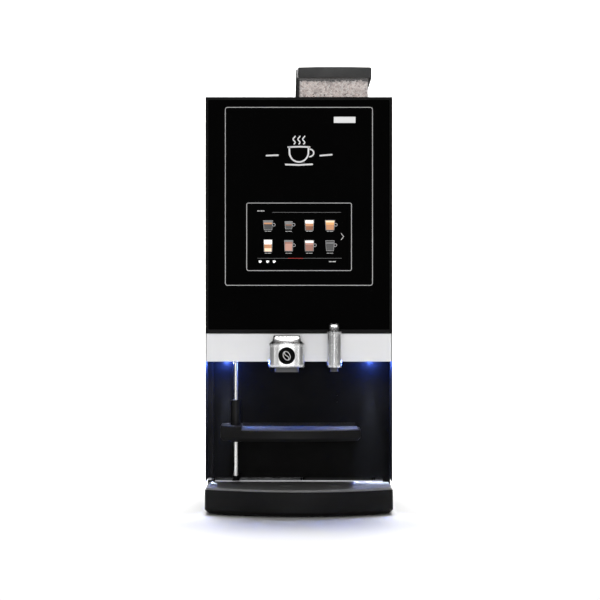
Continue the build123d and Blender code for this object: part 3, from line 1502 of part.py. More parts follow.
def drip_grid():
    """Lift-out cover of the tray: drain slots under both outlets, locating skirt inside the rim."""
    cover = offset(tray_outline(), -tray_wall - tray_slack)
    low = tray_rim + tray_slack
    plate = plate_of(cover, low, tray_grid_top)
    plate = chamfer(plate.faces().sort_by(Axis.Z)[-1].edges(), 1.0)
    plate -= drains(tray_drain_y, low, tray_grid_top)
    skirt = plate_of(cover, tray_seat + gap, low)
    skirt -= plate_of(offset(cover, -4.0), tray_seat - 1, tray_rim + 1)
    return plate + skirt


# ================================================================ write every sub-part
sub_parts = {
    "base_pan": base_pan,
    "side_panels": side_panels,
    "rear_panel": rear_panel,
    "top_panel": top_panel,
    "front_frame": front_frame,
    "tray_support": tray_support,
    "hinge_brackets": hinge_brackets,
    "panel_screws": panel_screws,
    "feet": feet,
    "water_inlet": water_inlet,
    "mains_inlet": mains_inlet,
    "power_rocker": power_rocker,
    "fan_housing": fan_housing,
    "fan_rotor": fan_rotor,
    "component_shelf": component_shelf,
    "canisters": canisters,
    "canister_lids": canister_lids,
    "auger_left": lambda: auger(canister_places()[0]),
    "auger_right": lambda: auger(canister_places()[1]),
    "mixer_bowls": mixer_bowls,
    "whipper_left": lambda: whipper(canister_places()[0]),
    "whipper_right": lambda: whipper(canister_places()[1]),
    "drive_motors": drive_motors,
    "water_tank": water_tank,
    "pump": pump,
    "boiler": boiler,
    "power_supply": power_supply,
    "bean_hopper": bean_hopper,
    "coffee_beans": coffee_beans,
    "hopper_frame": hopper_frame,
    "hopper_lid": hopper_lid,
    "hopper_gate": hopper_gate,
    "grinder_housing": grinder_housing,
    "grinder_burr": grinder_burr,
    "brew_frame": brew_frame,
    "brew_chamber": brew_chamber,
    "brew_piston": brew_piston,
    "brew_spindle": brew_spindle,
    "grounds_bin": grounds_bin,
    "product_hoses": product_hoses,
    "door_side_rails": door_side_rails,
    "door_cross_rails": door_cross_rails,
    "door_glass": door_glass,
    "touchscreen": touchscreen,
    "door_liner": door_liner,
    "control_board": control_board,
    "fascia_band": fascia_band,
    "niche_liner": niche_liner,
    "led_lenses": led_lenses,
    "head_cover": head_cover,
    "spout_cover": spout_cover,
    "outlet_nozzles": outlet_nozzles,
    "shelf_rod": shelf_rod,
    "lock_barrel": lock_barrel,
    "lock_cam": lock_cam,
    "shelf_sleeve": shelf_sleeve,
    "cup_shelf": cup_shelf,
    "shelf_grid": shelf_grid,
    "drip_tray": drip_tray,
    "drip_grid": drip_grid,
}

os.makedirs("parts", exist_ok=True)
for sub_part_name, make_sub_part in sub_parts.items():
    save(sub_part_name, make_sub_part())
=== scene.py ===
import math
import random

import bmesh
import bpy
from mathutils import Matrix, Vector


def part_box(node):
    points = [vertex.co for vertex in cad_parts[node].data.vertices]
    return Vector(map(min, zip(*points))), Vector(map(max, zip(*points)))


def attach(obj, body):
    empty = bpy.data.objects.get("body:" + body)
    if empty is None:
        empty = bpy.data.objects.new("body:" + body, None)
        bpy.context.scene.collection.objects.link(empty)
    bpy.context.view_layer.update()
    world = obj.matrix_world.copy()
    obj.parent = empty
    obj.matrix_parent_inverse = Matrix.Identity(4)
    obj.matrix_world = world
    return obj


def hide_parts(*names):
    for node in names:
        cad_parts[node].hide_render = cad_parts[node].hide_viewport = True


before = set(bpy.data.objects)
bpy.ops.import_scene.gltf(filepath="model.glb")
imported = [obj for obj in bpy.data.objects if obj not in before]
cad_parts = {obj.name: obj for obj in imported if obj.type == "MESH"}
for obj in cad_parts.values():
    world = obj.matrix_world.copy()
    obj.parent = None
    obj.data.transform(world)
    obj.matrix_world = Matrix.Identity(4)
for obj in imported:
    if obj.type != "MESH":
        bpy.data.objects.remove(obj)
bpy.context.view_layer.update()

MM = 0.001


# ------------------------------------------------------------------ places read from the frame
def low(node):
    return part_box(node)[0]


def high(node):
    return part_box(node)[1]


def middle(node):
    return (low(node) + high(node)) / 2


GLASS_Y = low("door_glass").y
SCREEN = middle("touchscreen")
FILM = 0.12 * MM            # thickness of the ink on the glass
LAYER = 0.04 * MM           # step between the layers of the lit picture
LAYER_THICKNESS = 0.03 * MM


# ------------------------------------------------------------------ node helpers
class Shader:
    """A Principled material and short ways to add texture nodes to it."""

    def __init__(self, name, color, roughness, metallic=0.0, **sockets):
        self.material = bpy.data.materials.new(name)
        self.material.use_nodes = True
        self.tree = self.material.node_tree
        self.bsdf = self.tree.nodes["Principled BSDF"]
        self.set("Base Color", (*color, 1.0))
        self.set("Roughness", roughness)
        self.set("Metallic", metallic)
        for socket, value in sockets.items():
            self.set(socket.replace("_", " "), value)
        self.last_bump = None

    def set(self, socket, value):
        self.bsdf.inputs[socket].default_value = value

    def link(self, start, end):
        self.tree.links.new(start, end)

    def coords(self, scale):
        """Object coordinates stretched by a scale per axis, in units per metre."""
        source = self.tree.nodes.new("ShaderNodeTexCoord")
        mapping = self.tree.nodes.new("ShaderNodeMapping")
        mapping.inputs["Scale"].default_value = scale
        self.link(source.outputs["Object"], mapping.inputs["Vector"])
        return mapping.outputs["Vector"]

    def noise(self, scale, detail=3.0):
        """Noise from 0 to 1; the scale is one number, or one for each axis."""
        texture = self.tree.nodes.new("ShaderNodeTexNoise")
        texture.inputs["Scale"].default_value = 1.0
        texture.inputs["Detail"].default_value = detail
        texture.inputs["Roughness"].default_value = 0.55
        if not isinstance(scale, tuple):
            scale = (scale, scale, scale)
        self.link(self.coords(scale), texture.inputs["Vector"])
        return texture.outputs["Fac"]

    def ranged(self, value, start, end):
        """Stretches the middle of a noise value to run from start to end."""
        remap = self.tree.nodes.new("ShaderNodeMapRange")
        remap.inputs["From Min"].default_value = 0.3
        remap.inputs["From Max"].default_value = 0.7
        remap.inputs["To Min"].default_value = start
        remap.inputs["To Max"].default_value = end
        self.link(value, remap.inputs["Value"])
        return remap.outputs["Result"]

    def blend_colors(self, value, colors, places):
        """Colours the surface by a value from 0 to 1, with one colour at each place."""
        ramp = self.tree.nodes.new("ShaderNodeValToRGB")
        elements = ramp.color_ramp.elements
        while len(elements) < len(colors):
            elements.new(0.5)
        for element, place, color in zip(elements, places, colors):
            element.position = place
            element.color = (*color, 1.0)
        self.link(value, ramp.inputs["Fac"])
        self.link(ramp.outputs["Color"], self.bsdf.inputs["Base Color"])

    def vary(self, scale, dark, light):
        """Slow colour drift between two close shades."""
        drift = self.ranged(self.noise(scale, detail=4.0), 0.0, 1.0)
        self.blend_colors(drift, [dark, light], [0.0, 1.0])

    def rough(self, scale, start, end, detail=3.0):
        """Roughness that drifts from start to end."""
        self.link(self.ranged(self.noise(scale, detail), start, end), self.bsdf.inputs["Roughness"])

    def bump(self, height, distance, strength):
        """Adds relief on top of the relief there is."""
        made = self.tree.nodes.new("ShaderNodeBump")
        made.inputs["Strength"].default_value = strength
        made.inputs["Distance"].default_value = distance
        self.link(height, made.inputs["Height"])
        if self.last_bump is not None:
            self.link(self.last_bump, made.inputs["Normal"])
        self.link(made.outputs["Normal"], self.bsdf.inputs["Normal"])
        self.last_bump = made.outputs["Normal"]

    def grain(self, scale, distance, strength, detail=3.0):
        """Fine relief from noise."""
        self.bump(self.noise(scale, detail), distance, strength)

    def roll_edges(self, radius):
        """Shades the creases of a sheet as if they were bent over a radius."""
        made = self.tree.nodes.new("ShaderNodeBevel")
        made.samples = 8
        made.inputs["Radius"].default_value = radius
        self.last_bump = made.outputs["Normal"]

    def let_reverse_through(self):
        """Makes the reverse of the surface clear."""
        side = self.tree.nodes.new("ShaderNodeNewGeometry")
        clear = self.tree.nodes.new("ShaderNodeBsdfTransparent")
        mix = self.tree.nodes.new("ShaderNodeMixShader")
        front, reverse = mix.inputs[1], mix.inputs[2]
        self.link(side.outputs["Backfacing"], mix.inputs["Fac"])
        self.link(self.bsdf.outputs["BSDF"], front)
        self.link(clear.outputs["BSDF"], reverse)
        self.link(mix.outputs["Shader"], self.tree.nodes["Material Output"].inputs["Surface"])


def shade(value):
    return (value, value, value)


def scaled(color, factor):
    return tuple(min(1.0, part * factor) for part in color)


# ------------------------------------------------------------------ materials
def powder_coat(name, tone, rough_low, rough_high):
    """Fine-texture powder coat: orange-peel grain and slow gloss drift."""
    made = Shader(name, shade(tone), rough_low, Specular_IOR_Level=0.08)
    made.vary(14.0, shade(tone * 0.8), shade(tone * 1.25))
    made.rough(30.0, rough_low, rough_high)
    made.grain(900.0, distance=0.12 * MM, strength=0.35, detail=2.0)
    made.grain(3500.0, distance=0.03 * MM, strength=0.5, detail=1.0)
    return made.material


def moulded(name, color, rough_low, rough_high, grain=1800.0, gloss=0.15):
    """Injection-moulded plastic with a spark-eroded grain."""
    made = Shader(name, color, rough_low, Specular_IOR_Level=gloss)
    made.vary(22.0, scaled(color, 0.85), scaled(color, 1.15))
    made.rough(45.0, rough_low, rough_high)
    made.grain(grain, distance=0.05 * MM, strength=0.4, detail=2.0)
    return made.material


def brushed(name, color, along, rough_low, rough_high, depth=0.02 * MM, rolled=0.0):
    """Brushed metal; along is the axis the brushing follows, or round for a bowed sheet.

    Rolled is the radius over which the creases of the sheet are polished smooth."""
    stretch = {"x": (18.0, 900.0, 2600.0), "z": (2600.0, 900.0, 18.0), "round": (12.0, 12.0, 2600.0)}
    made = Shader(name, color, rough_low, metallic=1.0)
    streaks = made.noise(stretch[along], detail=2.0)
    made.blend_colors(made.ranged(streaks, 0.0, 1.0), [scaled(color, 0.9), color], [0.0, 1.0])
    made.link(made.ranged(streaks, rough_low, rough_high), made.bsdf.inputs["Roughness"])
    if rolled:
        made.roll_edges(rolled)
    made.bump(streaks, depth, strength=0.35)
    return made.material


def zinc(name):
    """Zinc-plated sheet with a faint spangle."""
    made = Shader(name, shade(0.5), 0.35, metallic=1.0)
    spangle = 160.0
    cells = made.tree.nodes.new("ShaderNodeTexVoronoi")
    cells.inputs["Scale"].default_value = 1.0
    made.link(made.coords((spangle, spangle, spangle)), cells.inputs["Vector"])
    made.blend_colors(cells.outputs["Distance"], [(0.50, 0.51, 0.53), (0.62, 0.63, 0.65)], [0.0, 1.0])
    made.rough(60.0, 0.28, 0.5)
    made.grain(1200.0, distance=0.02 * MM, strength=0.3)
    return made.material


def black_glass(name):
    """Back-printed safety glass with faint wiping marks in its gloss."""
    made = Shader(name, shade(0.0006), 0.04, Specular_IOR_Level=0.004)
    made.vary(9.0, shade(0.0004), shade(0.0009))
    made.rough((6.0, 6.0, 22.0), 0.03, 0.1, detail=5.0)
    made.grain(25.0, distance=0.02 * MM, strength=0.05, detail=1.0)
    return made.material


def white_lacquer(name, tone):
    """Satin white lacquer."""
    made = Shader(name, shade(tone), 0.35)
    made.vary(8.0, shade(tone * 0.98), shade(tone * 1.01))
    made.rough(40.0, 0.3, 0.42)
    made.grain(700.0, distance=0.03 * MM, strength=0.25, detail=2.0)
    return made.material


def clear_plastic(name, veil, rough):
    """Clear polycarbonate: mostly see-through with a pale veil of scuffs."""
    made = Shader(name, (0.86, 0.85, 0.85), rough, IOR=1.49, Alpha=veil)
    made.rough(120.0, rough * 0.7, rough * 1.6)
    made.grain(60.0, distance=0.05 * MM, strength=0.1, detail=2.0)
    made.material.surface_render_method = "BLENDED"
    return made.material


def glowing(name, color, strength=1.0):
    """A lit surface whose brightness is the same all over."""
    made = Shader(name, color, 0.4, Emission_Color=(*color, 1.0), Emission_Strength=strength)
    made.rough(40.0, 0.3, 0.5)
    return made.material


def printed(name, color, rough=0.5, gloss=0.3):
    """Screen-printed ink with a little edge grain."""
    made = Shader(name, color, rough, Specular_IOR_Level=gloss)
    made.rough(300.0, rough * 0.85, rough * 1.15)
    made.grain(2500.0, distance=0.01 * MM, strength=0.3)
    return made.material


def rubber(name, tone):
    """Matt black rubber with a coarse skin."""
    made = Shader(name, shade(tone), 0.75, Specular_IOR_Level=0.3)
    made.vary(60.0, shade(tone * 0.8), shade(tone * 1.3))
    made.grain(1400.0, distance=0.06 * MM, strength=0.5)
    return made.material


def metal(name, color, rough_low, rough_high):
    """Turned or drawn metal with fine tool marks."""
    made = Shader(name, color, rough_low, metallic=1.0)
    made.vary(80.0, scaled(color, 0.85), color)
    made.rough(150.0, rough_low, rough_high)
    made.grain((400.0, 400.0, 1600.0), distance=0.02 * MM, strength=0.3, detail=2.0)
    return made.material


def bean_skin(name):
    """Pale roasted beans: each bean has its own shade, the palest near white as painted highlights, with a
    faint painted glow, a silky sheen and fine wrinkles.
    """
    # The emission is a painted glow that lightens the beans.
    made = Shader(name, (0.5, 0.42, 0.4), 0.35, Emission_Color=(0.9, 0.82, 0.79, 1.0),
                  Emission_Strength=0.2)
    island = made.tree.nodes.new("ShaderNodeNewGeometry")
    # Each bean's own shade varies at random; the palest, near-white shades are painted highlights.
    roasts_and_painted_highlights = [(0.30, 0.24, 0.22), (0.70, 0.61, 0.58), (0.96, 0.91, 0.88), (1.0, 0.97, 0.95)]
    made.blend_colors(island.outputs["Random Per Island"], roasts_and_painted_highlights, [0.0, 0.35, 0.6, 1.0])
    made.rough(900.0, 0.25, 0.5)
    made.grain((500.0, 500.0, 1500.0), distance=0.08 * MM, strength=0.5)
    return made.material


def circuit(name):
    """Green solder mask over copper tracks."""
    made = Shader(name, (0.02, 0.14, 0.06), 0.35)
    made.vary(400.0, (0.012, 0.09, 0.04), (0.03, 0.2, 0.09))
    made.grain(900.0, distance=0.04 * MM, strength=0.4)
    return made.material


def coat_finishes():
    """Painted, plated and bare metal, with the CAD nodes that wear each."""
    return {
        powder_coat("cabinet_powder_coat", 0.008, 0.42, 0.6): ["side_panels", "rear_panel", "top_panel"],
        powder_coat("door_frame_coat", 0.006, 0.4, 0.55): ["door_side_rails", "door_cross_rails"],
        zinc("zinc_sheet"): ["base_pan", "front_frame", "tray_support", "hinge_brackets",
                             "component_shelf", "power_supply", "door_liner", "lock_cam"],
        brushed("brushed_aluminium", shade(0.92), "round", 0.22, 0.27, depth=0.003 * MM, rolled=8.0 * MM):
            ["head_cover", "spout_cover"],
        brushed("satin_steel", (0.72, 0.72, 0.7056), "z", 0.2, 0.34):
            ["panel_screws", "grinder_burr", "brew_frame", "brew_spindle", "shelf_rod", "lock_barrel"],
        brushed("boiler_steel", shade(0.62), "x", 0.25, 0.42): ["boiler"],
        metal("motor_can", (0.42, 0.43, 0.45), 0.3, 0.45): ["drive_motors"],
        metal("machined_brass", (0.72, 0.52, 0.25), 0.2, 0.35): ["water_inlet", "pump"],
    }


def plastic_finishes():
    """Moulded plastics and rubber, with the CAD nodes that wear each."""
    return {
        moulded("niche_plastic", shade(0.003), 0.3, 0.45, grain=900.0, gloss=0.03): ["niche_liner"],
        moulded("satin_black_plastic", shade(0.008), 0.3, 0.42):
            ["mains_inlet", "power_rocker", "fan_housing", "canister_lids", "hopper_frame",
             "grounds_bin", "shelf_sleeve"],
        moulded("tray_plastic", shade(0.008), 0.34, 0.46, gloss=0.1): ["cup_shelf", "drip_tray"],
        # Grey plastic covers, made lighter than their own tone as a painted sheen of the light grazing their
        # tops; the tray cover is lightened more.
        moulded("shelf_cover_plastic_and_painted_sheen", shade(0.16), 0.3, 0.4): ["shelf_grid"],
        moulded("tray_cover_plastic_and_painted_sheen", shade(0.27), 0.3, 0.4): ["drip_grid"],
        moulded("lid_plastic", shade(0.1), 0.42, 0.55): ["hopper_lid"],
        moulded("grey_plastic", shade(0.08), 0.4, 0.55):
            ["fan_rotor", "mixer_bowls", "grinder_housing", "brew_chamber"],
        moulded("nozzle_plastic", shade(0.1), 0.35, 0.5): ["outlet_nozzles"],
        moulded("white_plastic", shade(0.78), 0.25, 0.4):
            ["auger_left", "auger_right", "whipper_left", "whipper_right", "hopper_gate", "brew_piston"],
        moulded("silicone_hose", (0.72, 0.71, 0.67), 0.4, 0.55): ["product_hoses"],
        moulded("display_case", shade(0.02), 0.4, 0.5): ["touchscreen"],
        clear_plastic("clear_polycarbonate", 0.14, 0.12): ["bean_hopper"],
        clear_plastic("canister_plastic", 0.5, 0.3): ["canisters"],
        clear_plastic("tank_polypropylene", 0.8, 0.45): ["water_tank"],
        rubber("foot_rubber", 0.015): ["feet"],
    }


def front_finishes():
    """Glass, lacquer, lamp lenses and the circuit board, with the CAD nodes that wear each."""
    return {
        black_glass("door_glass_black"): ["door_glass"],
        white_lacquer("band_lacquer", 0.97): ["fascia_band"],
        circuit("circuit_board"): ["control_board"],
        glowing("lamp_lens", (0.16, 0.3, 1.0), 26.0): ["led_lenses"],
    }


def paint_nodes():
    """Gives every CAD node its finished material."""
    for finishes in (coat_finishes(), plastic_finishes(), front_finishes()):
        for material, names in finishes.items():
            for name in names:
                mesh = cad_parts[name].data
                mesh.materials.clear()
                mesh.materials.append(material)


def soften_edges():
    """Small rounded edges on the CAD pieces whose edges catch the light; on the drip tray and the cup shelf
    they get a lighter, glossier material as a painted highlight.
    """
    widths = {"head_cover": 0.8, "spout_cover": 0.8, "hopper_lid": 1.5, "drip_tray": 1.6, "cup_shelf": 1.3,
              "fascia_band": 0.4, "door_side_rails": 0.4, "door_cross_rails": 0.4, "side_panels": 0.4,
              "hopper_frame": 0.5}
    # Painted highlights: lighter, glossier plastic on the rounded edges of the drip tray and the cup shelf.
    painted_highlight_edges = {
        "drip_tray": moulded("tray_edge_painted_highlight", shade(0.16), 0.2, 0.3, gloss=0.5),
        "cup_shelf": moulded("shelf_edge_painted_highlight", shade(0.4), 0.2, 0.3, gloss=0.5),
    }
    for name, width in widths.items():
        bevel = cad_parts[name].modifiers.new("edge", "BEVEL")
        if name in painted_highlight_edges:
            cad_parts[name].data.materials.append(painted_highlight_edges[name])
            bevel.material = 1
        bevel.width = width * MM
        bevel.segments = 2
        bevel.limit_method = "ANGLE"
        bevel.angle_limit = math.radians(38)
        bevel.harden_normals = False


# ------------------------------------------------------------------ mesh helpers
def piece(name, bm, material, body):
    """Turns a bmesh into a piece that rides on a body."""
    mesh = bpy.data.meshes.new(name)
    bm.to_mesh(mesh)
    bm.free()
    made = bpy.data.objects.new(name, mesh)
    bpy.context.scene.collection.objects.link(made)
    mesh.materials.append(material)
    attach(made, body)
    return made


def prism(bm, outline, y_front, y_back):
    """Adds a closed plate whose outline is a list of (x, z) points."""
    front = [bm.verts.new((x, y_front, z)) for x, z in outline]
    back = [bm.verts.new((x, y_back, z)) for x, z in outline]
    count = len(outline)
    bm.faces.new(front)
    bm.faces.new(list(reversed(back)))
    for i in range(count):
        j = (i + 1) % count
        bm.faces.new((front[j], front[i], back[i], back[j]))


def ribbon(bm, inner, outer, y_front, y_back):
    """Adds a closed band between two loops of (x, z) points."""
    rings = []
    for loop, y in ((outer, y_front), (inner, y_front), (inner, y_back), (outer, y_back)):
        rings.append([bm.verts.new((x, y, z)) for x, z in loop])
    count = len(inner)
    for a, ring_a in enumerate(rings):
        ring_b = rings[(a + 1) % len(rings)]
        for i in range(count):
            j = (i + 1) % count
            bm.faces.new((ring_a[i], ring_a[j], ring_b[j], ring_b[i]))


def rounded_loop(x_low, x_high, z_low, z_high, radius):
    """A rectangle with round corners."""
    steps = 5
    points = []
    for cx, cz, start in ((x_high - radius, z_high - radius, 0), (x_low + radius, z_high - radius, 90),
                          (x_low + radius, z_low + radius, 180), (x_high - radius, z_low + radius, 270)):
        points += arc(cx, cz, radius, radius, start, start + 90, steps)
    return points


def circle_loop(x, z, radius, steps):
    return arc(x, z, radius, radius, 0, 360, steps)[:-1]


def arc(cx, cz, radius_x, radius_z, start, end, steps):
    """Points along an ellipse between two angles in degrees."""
    points = []
    for step in range(steps + 1):
        angle = math.radians(start + (end - start) * step / steps)
        points.append((cx + radius_x * math.cos(angle), cz + radius_z * math.sin(angle)))
    return points


def stroke(bm, points, width, y_front, y_back):
    """Adds a flat pen stroke with round ends along (x, z) points."""
    cap_steps = 6
    half = width / 2
    left_side = []
    right_side = []
    count = len(points)
    for i, (x, z) in enumerate(points):
        ax, az = points[max(i - 1, 0)]
        bx, bz = points[min(i + 1, count - 1)]
        length = math.hypot(bx - ax, bz - az)
        nx, nz = -(bz - az) / length, (bx - ax) / length
        left_side.append((x + nx * half, z + nz * half))
        right_side.append((x - nx * half, z - nz * half))

    def cap(center, start_point):
        cx, cz = center
        start = math.degrees(math.atan2(start_point[1] - cz, start_point[0] - cx))
        return arc(cx, cz, half, half, start, start - 180, cap_steps)[1:-1]

    end_cap = cap(points[-1], left_side[-1])
    start_cap = cap(points[0], right_side[0])
    prism(bm, left_side + end_cap + list(reversed(right_side)) + start_cap, y_front, y_back)


# ------------------------------------------------------------------ print on the glass
def glass_outlines():
    """Two thin printed frames: one round the screen, and a tall one round the upper glass."""
    line = 1.4 * MM
    tall_half_width = 162 * MM
    tall_drop = 107 * MM
    tall_rise = 284.5 * MM
    tall_corner = 5.5 * MM
    screen_half_width = 115.5 * MM
    screen_drop = 74.8 * MM
    screen_rise = 74.7 * MM
    screen_corner = 4.5 * MM
    frames = [
        (-tall_half_width, tall_half_width, SCREEN.z - tall_drop, SCREEN.z + tall_rise, tall_corner),
        (SCREEN.x - screen_half_width, SCREEN.x + screen_half_width, SCREEN.z - screen_drop,
         SCREEN.z + screen_rise, screen_corner),
    ]
    bm = bmesh.new()
    for x_low, x_high, z_low, z_high, corner in frames:
        inner = rounded_loop(x_low + line, x_high - line, z_low + line, z_high - line, corner - line)
        outer = rounded_loop(x_low, x_high, z_low, z_high, corner)
        ribbon(bm, inner, outer, GLASS_Y - FILM, GLASS_Y)
    piece("glass_outlines", bm, printed("thin_ink", shade(0.62)), "door")


def cup_sign():
    """A drawn cup with steam between two dashes, high on the glass."""
    pen = 3.6 * MM
    z = SCREEN.z + 182 * MM
    bowl_half = 21 * MM
    rim = z + 14 * MM
    bm = bmesh.new()

    def draw(points, width=pen):
        stroke(bm, points, width, GLASS_Y - FILM, GLASS_Y)

    draw([(-bowl_half, rim)] + arc(0, z + 4 * MM, bowl_half, 22 * MM, 190, 350, 18) + [(bowl_half, rim)])
    draw([(-23.5 * MM, z + 14.5 * MM), (0, z + 15.5 * MM), (23.5 * MM, z + 14.8 * MM)])
    draw(arc(22 * MM, z + 2 * MM, 10.5 * MM, 8.5 * MM, 78, -82, 12), pen * 0.85)
    draw([(-29 * MM, z - 23.5 * MM), (0, z - 24.5 * MM), (29 * MM, z - 23 * MM)])
    steam_pitch = 10.5 * MM
    steam_sway = 2.4 * MM
    steam_foot = z + 21.5 * MM
    steam_rise = 4.2 * MM
    for shift in (-steam_pitch, 0.0, steam_pitch):
        turns = [0.4 * step for step in range(11)]
        draw([(shift + steam_sway * math.sin(1.9 * turn), steam_foot + turn * steam_rise) for turn in turns],
             pen * 0.75)
    draw([(-71 * MM, z - 4 * MM), (-46 * MM, z - 3 * MM)])
    draw([(47 * MM, z - 4 * MM), (72 * MM, z - 2 * MM)])
    piece("cup_sign", bm, printed("white_ink", shade(0.92)), "door")


def door_badge():
    """A blank silver badge with a raised rim."""
    x_low = 76.5 * MM
    x_high = 124.0 * MM
    z_low = SCREEN.z + 249.5 * MM
    z_high = SCREEN.z + 263.0 * MM
    thickness = 0.8 * MM
    rim = 1.1 * MM
    rim_height = 0.4 * MM
    corner = 0.8 * MM
    inner_corner = 0.3 * MM
    face = GLASS_Y - thickness
    outer = rounded_loop(x_low, x_high, z_low, z_high, corner)
    inner = rounded_loop(x_low + rim, x_high - rim, z_low + rim, z_high - rim, inner_corner)
    bm = bmesh.new()
    prism(bm, outer, face, GLASS_Y)
    ribbon(bm, inner, outer, face - rim_height, face)
    piece("door_badge", bm, brushed("badge_silver", shade(0.42), "x", 0.3, 0.42), "door")


# ------------------------------------------------------------------ picture on the screen
PICTURE_LAYER = 4
TOP_LAYER = 5


def layer_front(layer):
    return GLASS_Y - layer * LAYER


def flat(name, shapes, color, layer=PICTURE_LAYER):
    """One piece of the lit picture: closed outlines of one colour, on a thin layer."""
    bm = bmesh.new()
    front = layer_front(layer)
    for outline in shapes:
        prism(bm, outline, front, front + LAYER_THICKNESS)
    piece(name, bm, glowing(name + "_light", color), "door")


def bar(x_low, x_high, z_low, z_high):
    return [(x_low, z_low), (x_high, z_low), (x_high, z_high), (x_low, z_high)]


def vessel(x, z, half_top, half_foot, height, fill_low=0.0, fill_high=1.0):
    """A slice of a tapered glass, from one share of its height to another."""
    bottom = z - height / 2 + height * fill_low
    top = z - height / 2 + height * fill_high
    half_low = half_foot + (half_top - half_foot) * fill_low
    half_high = half_foot + (half_top - half_foot) * fill_high
    return [(x - half_low, bottom), (x + half_low, bottom), (x + half_high, top), (x - half_high, top)]


def glass_rim(bm, x, z, half_top, half_foot, height, handle):
    """The pale outline of one drink's glass, with a ring for its handle."""
    room = 1.2 * MM
    edge = 0.7 * MM
    front = layer_front(TOP_LAYER)
    back = front + LAYER_THICKNESS
    top, foot, tall = half_top + room, half_foot + room, height + 2.0 * MM
    ribbon(bm, vessel(x, z, top - edge, foot - edge, tall - 2 * edge), vessel(x, z, top, foot, tall),
           front, back)
    if handle:
        ring_x = x + half_top + 3.2 * MM
        ring_z = z + 1.0 * MM
        ribbon(bm, circle_loop(ring_x, ring_z, 2.6 * MM, 20), circle_loop(ring_x, ring_z, 3.6 * MM, 20),
               front, back)


def screen_drinks():
    """Two rows of four drinks in glasses, each with two bars in place of its name."""
    pitch = 45.3 * MM
    columns = [SCREEN.x - 0.2 * MM + (i - 1.5) * pitch for i in range(4)]
    upper, lower = SCREEN.z + 25.4 * MM, SCREEN.z - 19.5 * MM
    drinks = [
        # column, row, half top, half foot and height in mm, layers (from, to, colour), handle
        (0, upper, 9.5, 7.5, 19, [(0.0, 0.62, "dark"), (0.62, 0.8, "tan"), (0.8, 1.0, "grey")], True),
        (1, upper, 7.5, 6.0, 15, [(0.0, 0.45, "dark"), (0.45, 0.62, "brown"), (0.62, 1.0, "grey")], True),
        (2, upper, 9.0, 7.5, 21, [(0.0, 0.4, "brown"), (0.4, 0.68, "tan"), (0.68, 1.0, "milk")], False),
        (3, upper, 9.5, 8.0, 20, [(0.0, 0.55, "tan"), (0.55, 0.8, "amber"), (0.8, 1.0, "cream")], True),
        (0, lower, 8.5, 7.5, 25, [(0.0, 0.28, "cream"), (0.28, 0.62, "tan"), (0.62, 1.0, "milk")], False),
        (1, lower, 8.5, 7.5, 22, [(0.0, 0.7, "pink"), (0.7, 0.88, "rose"), (0.88, 1.0, "grey")], True),
        (2, lower, 9.0, 8.0, 22, [(0.0, 0.6, "rose"), (0.6, 0.78, "pink"), (0.78, 1.0, "milk")], True),
        (3, lower, 8.5, 7.0, 21, [(0.0, 0.72, "dark"), (0.72, 0.84, "grey"), (0.84, 1.0, "dark")], True),
    ]
    colors = {
        "dark": (0.025, 0.025, 0.025), "grey": (0.12, 0.12, 0.12), "tan": (0.36, 0.16, 0.07),
        "brown": (0.14, 0.05, 0.02), "amber": (0.5, 0.26, 0.09), "cream": (0.7, 0.5, 0.34),
        "milk": (0.8, 0.75, 0.7), "pink": (0.33, 0.17, 0.13), "rose": (0.2, 0.09, 0.065),
    }
    label_height = 1.1 * MM
    label_inset = 7.0 * MM
    label_step = 6.2 * MM
    shapes = {key: [] for key in colors}
    labels = []
    rims = bmesh.new()
    for column, z, half_top, half_foot, height, layers, handle in drinks:
        x = columns[column]
        size = (half_top * MM, half_foot * MM, height * MM)
        for start, end, tone in layers:
            shapes[tone].append(vessel(x, z, *size, start, end))
        glass_rim(rims, x, z, *size, handle)
        label_z = SCREEN.z + 11.5 * MM if z == upper else SCREEN.z - 36.5 * MM
        for index, length in enumerate((5.0 * MM, 7.5 * MM)):
            left_x = x - label_inset + index * label_step
            labels.append(bar(left_x, left_x + length, label_z, label_z + label_height))
    for key, color in colors.items():
        flat("screen_" + key, shapes[key], color)
    piece("screen_glass_rims", rims, glowing("rim_light", shade(0.24)), "door")
    flat("screen_labels", labels, shade(0.3))


def screen_bars():
    """Bars in place of the title and the footer, the rules, the slider and three small cups."""
    left_x, right_x = SCREEN.x - 91.5 * MM, SCREEN.x + 97.5 * MM
    head_z, foot_z = SCREEN.z + 53.3 * MM, SCREEN.z - 47.3 * MM
    title = []
    title_gap = 1.3 * MM
    start = left_x
    for length in (3.2 * MM, 1.8 * MM, 4.0 * MM, 2.4 * MM):
        title.append(bar(start, start + length, head_z + 2.2 * MM, head_z + 4.6 * MM))
        start += length + title_gap
    flat("screen_title", title, shade(0.3))
    rule = 0.45 * MM
    flat("screen_rules", [bar(left_x + 32.5 * MM, right_x - 6 * MM, head_z, head_z + rule),
                          bar(left_x, right_x - 4 * MM, foot_z, foot_z + rule)], shade(0.14))
    slider = bar(SCREEN.x - 24.3 * MM, SCREEN.x + 8.5 * MM, foot_z - 0.2 * MM, foot_z + 0.6 * MM)
    flat("screen_slider", [slider], (0.32, 0.02, 0.015), TOP_LAYER)
    cups = []
    cup_half = 2.6 * MM
    handle = 1.2 * MM
    for shift in (85.7 * MM, 69.3 * MM, 55.0 * MM):
        x = SCREEN.x - shift
        cups.append(vessel(x, foot_z - 7.2 * MM, cup_half, 1.9 * MM, 4.8 * MM))
        cups.append(bar(x + cup_half, x + cup_half + handle, foot_z - 7.6 * MM, foot_z - 5.6 * MM))
    flat("screen_small_cups", cups, shade(0.85))
    words = [(65.5 * MM, 71.5 * MM), (72.8 * MM, 80.5 * MM)]
    flat("screen_footer", [bar(SCREEN.x + start, SCREEN.x + end, foot_z - 8.0 * MM, foot_z - 6.2 * MM)
                           for start, end in words], shade(0.35))


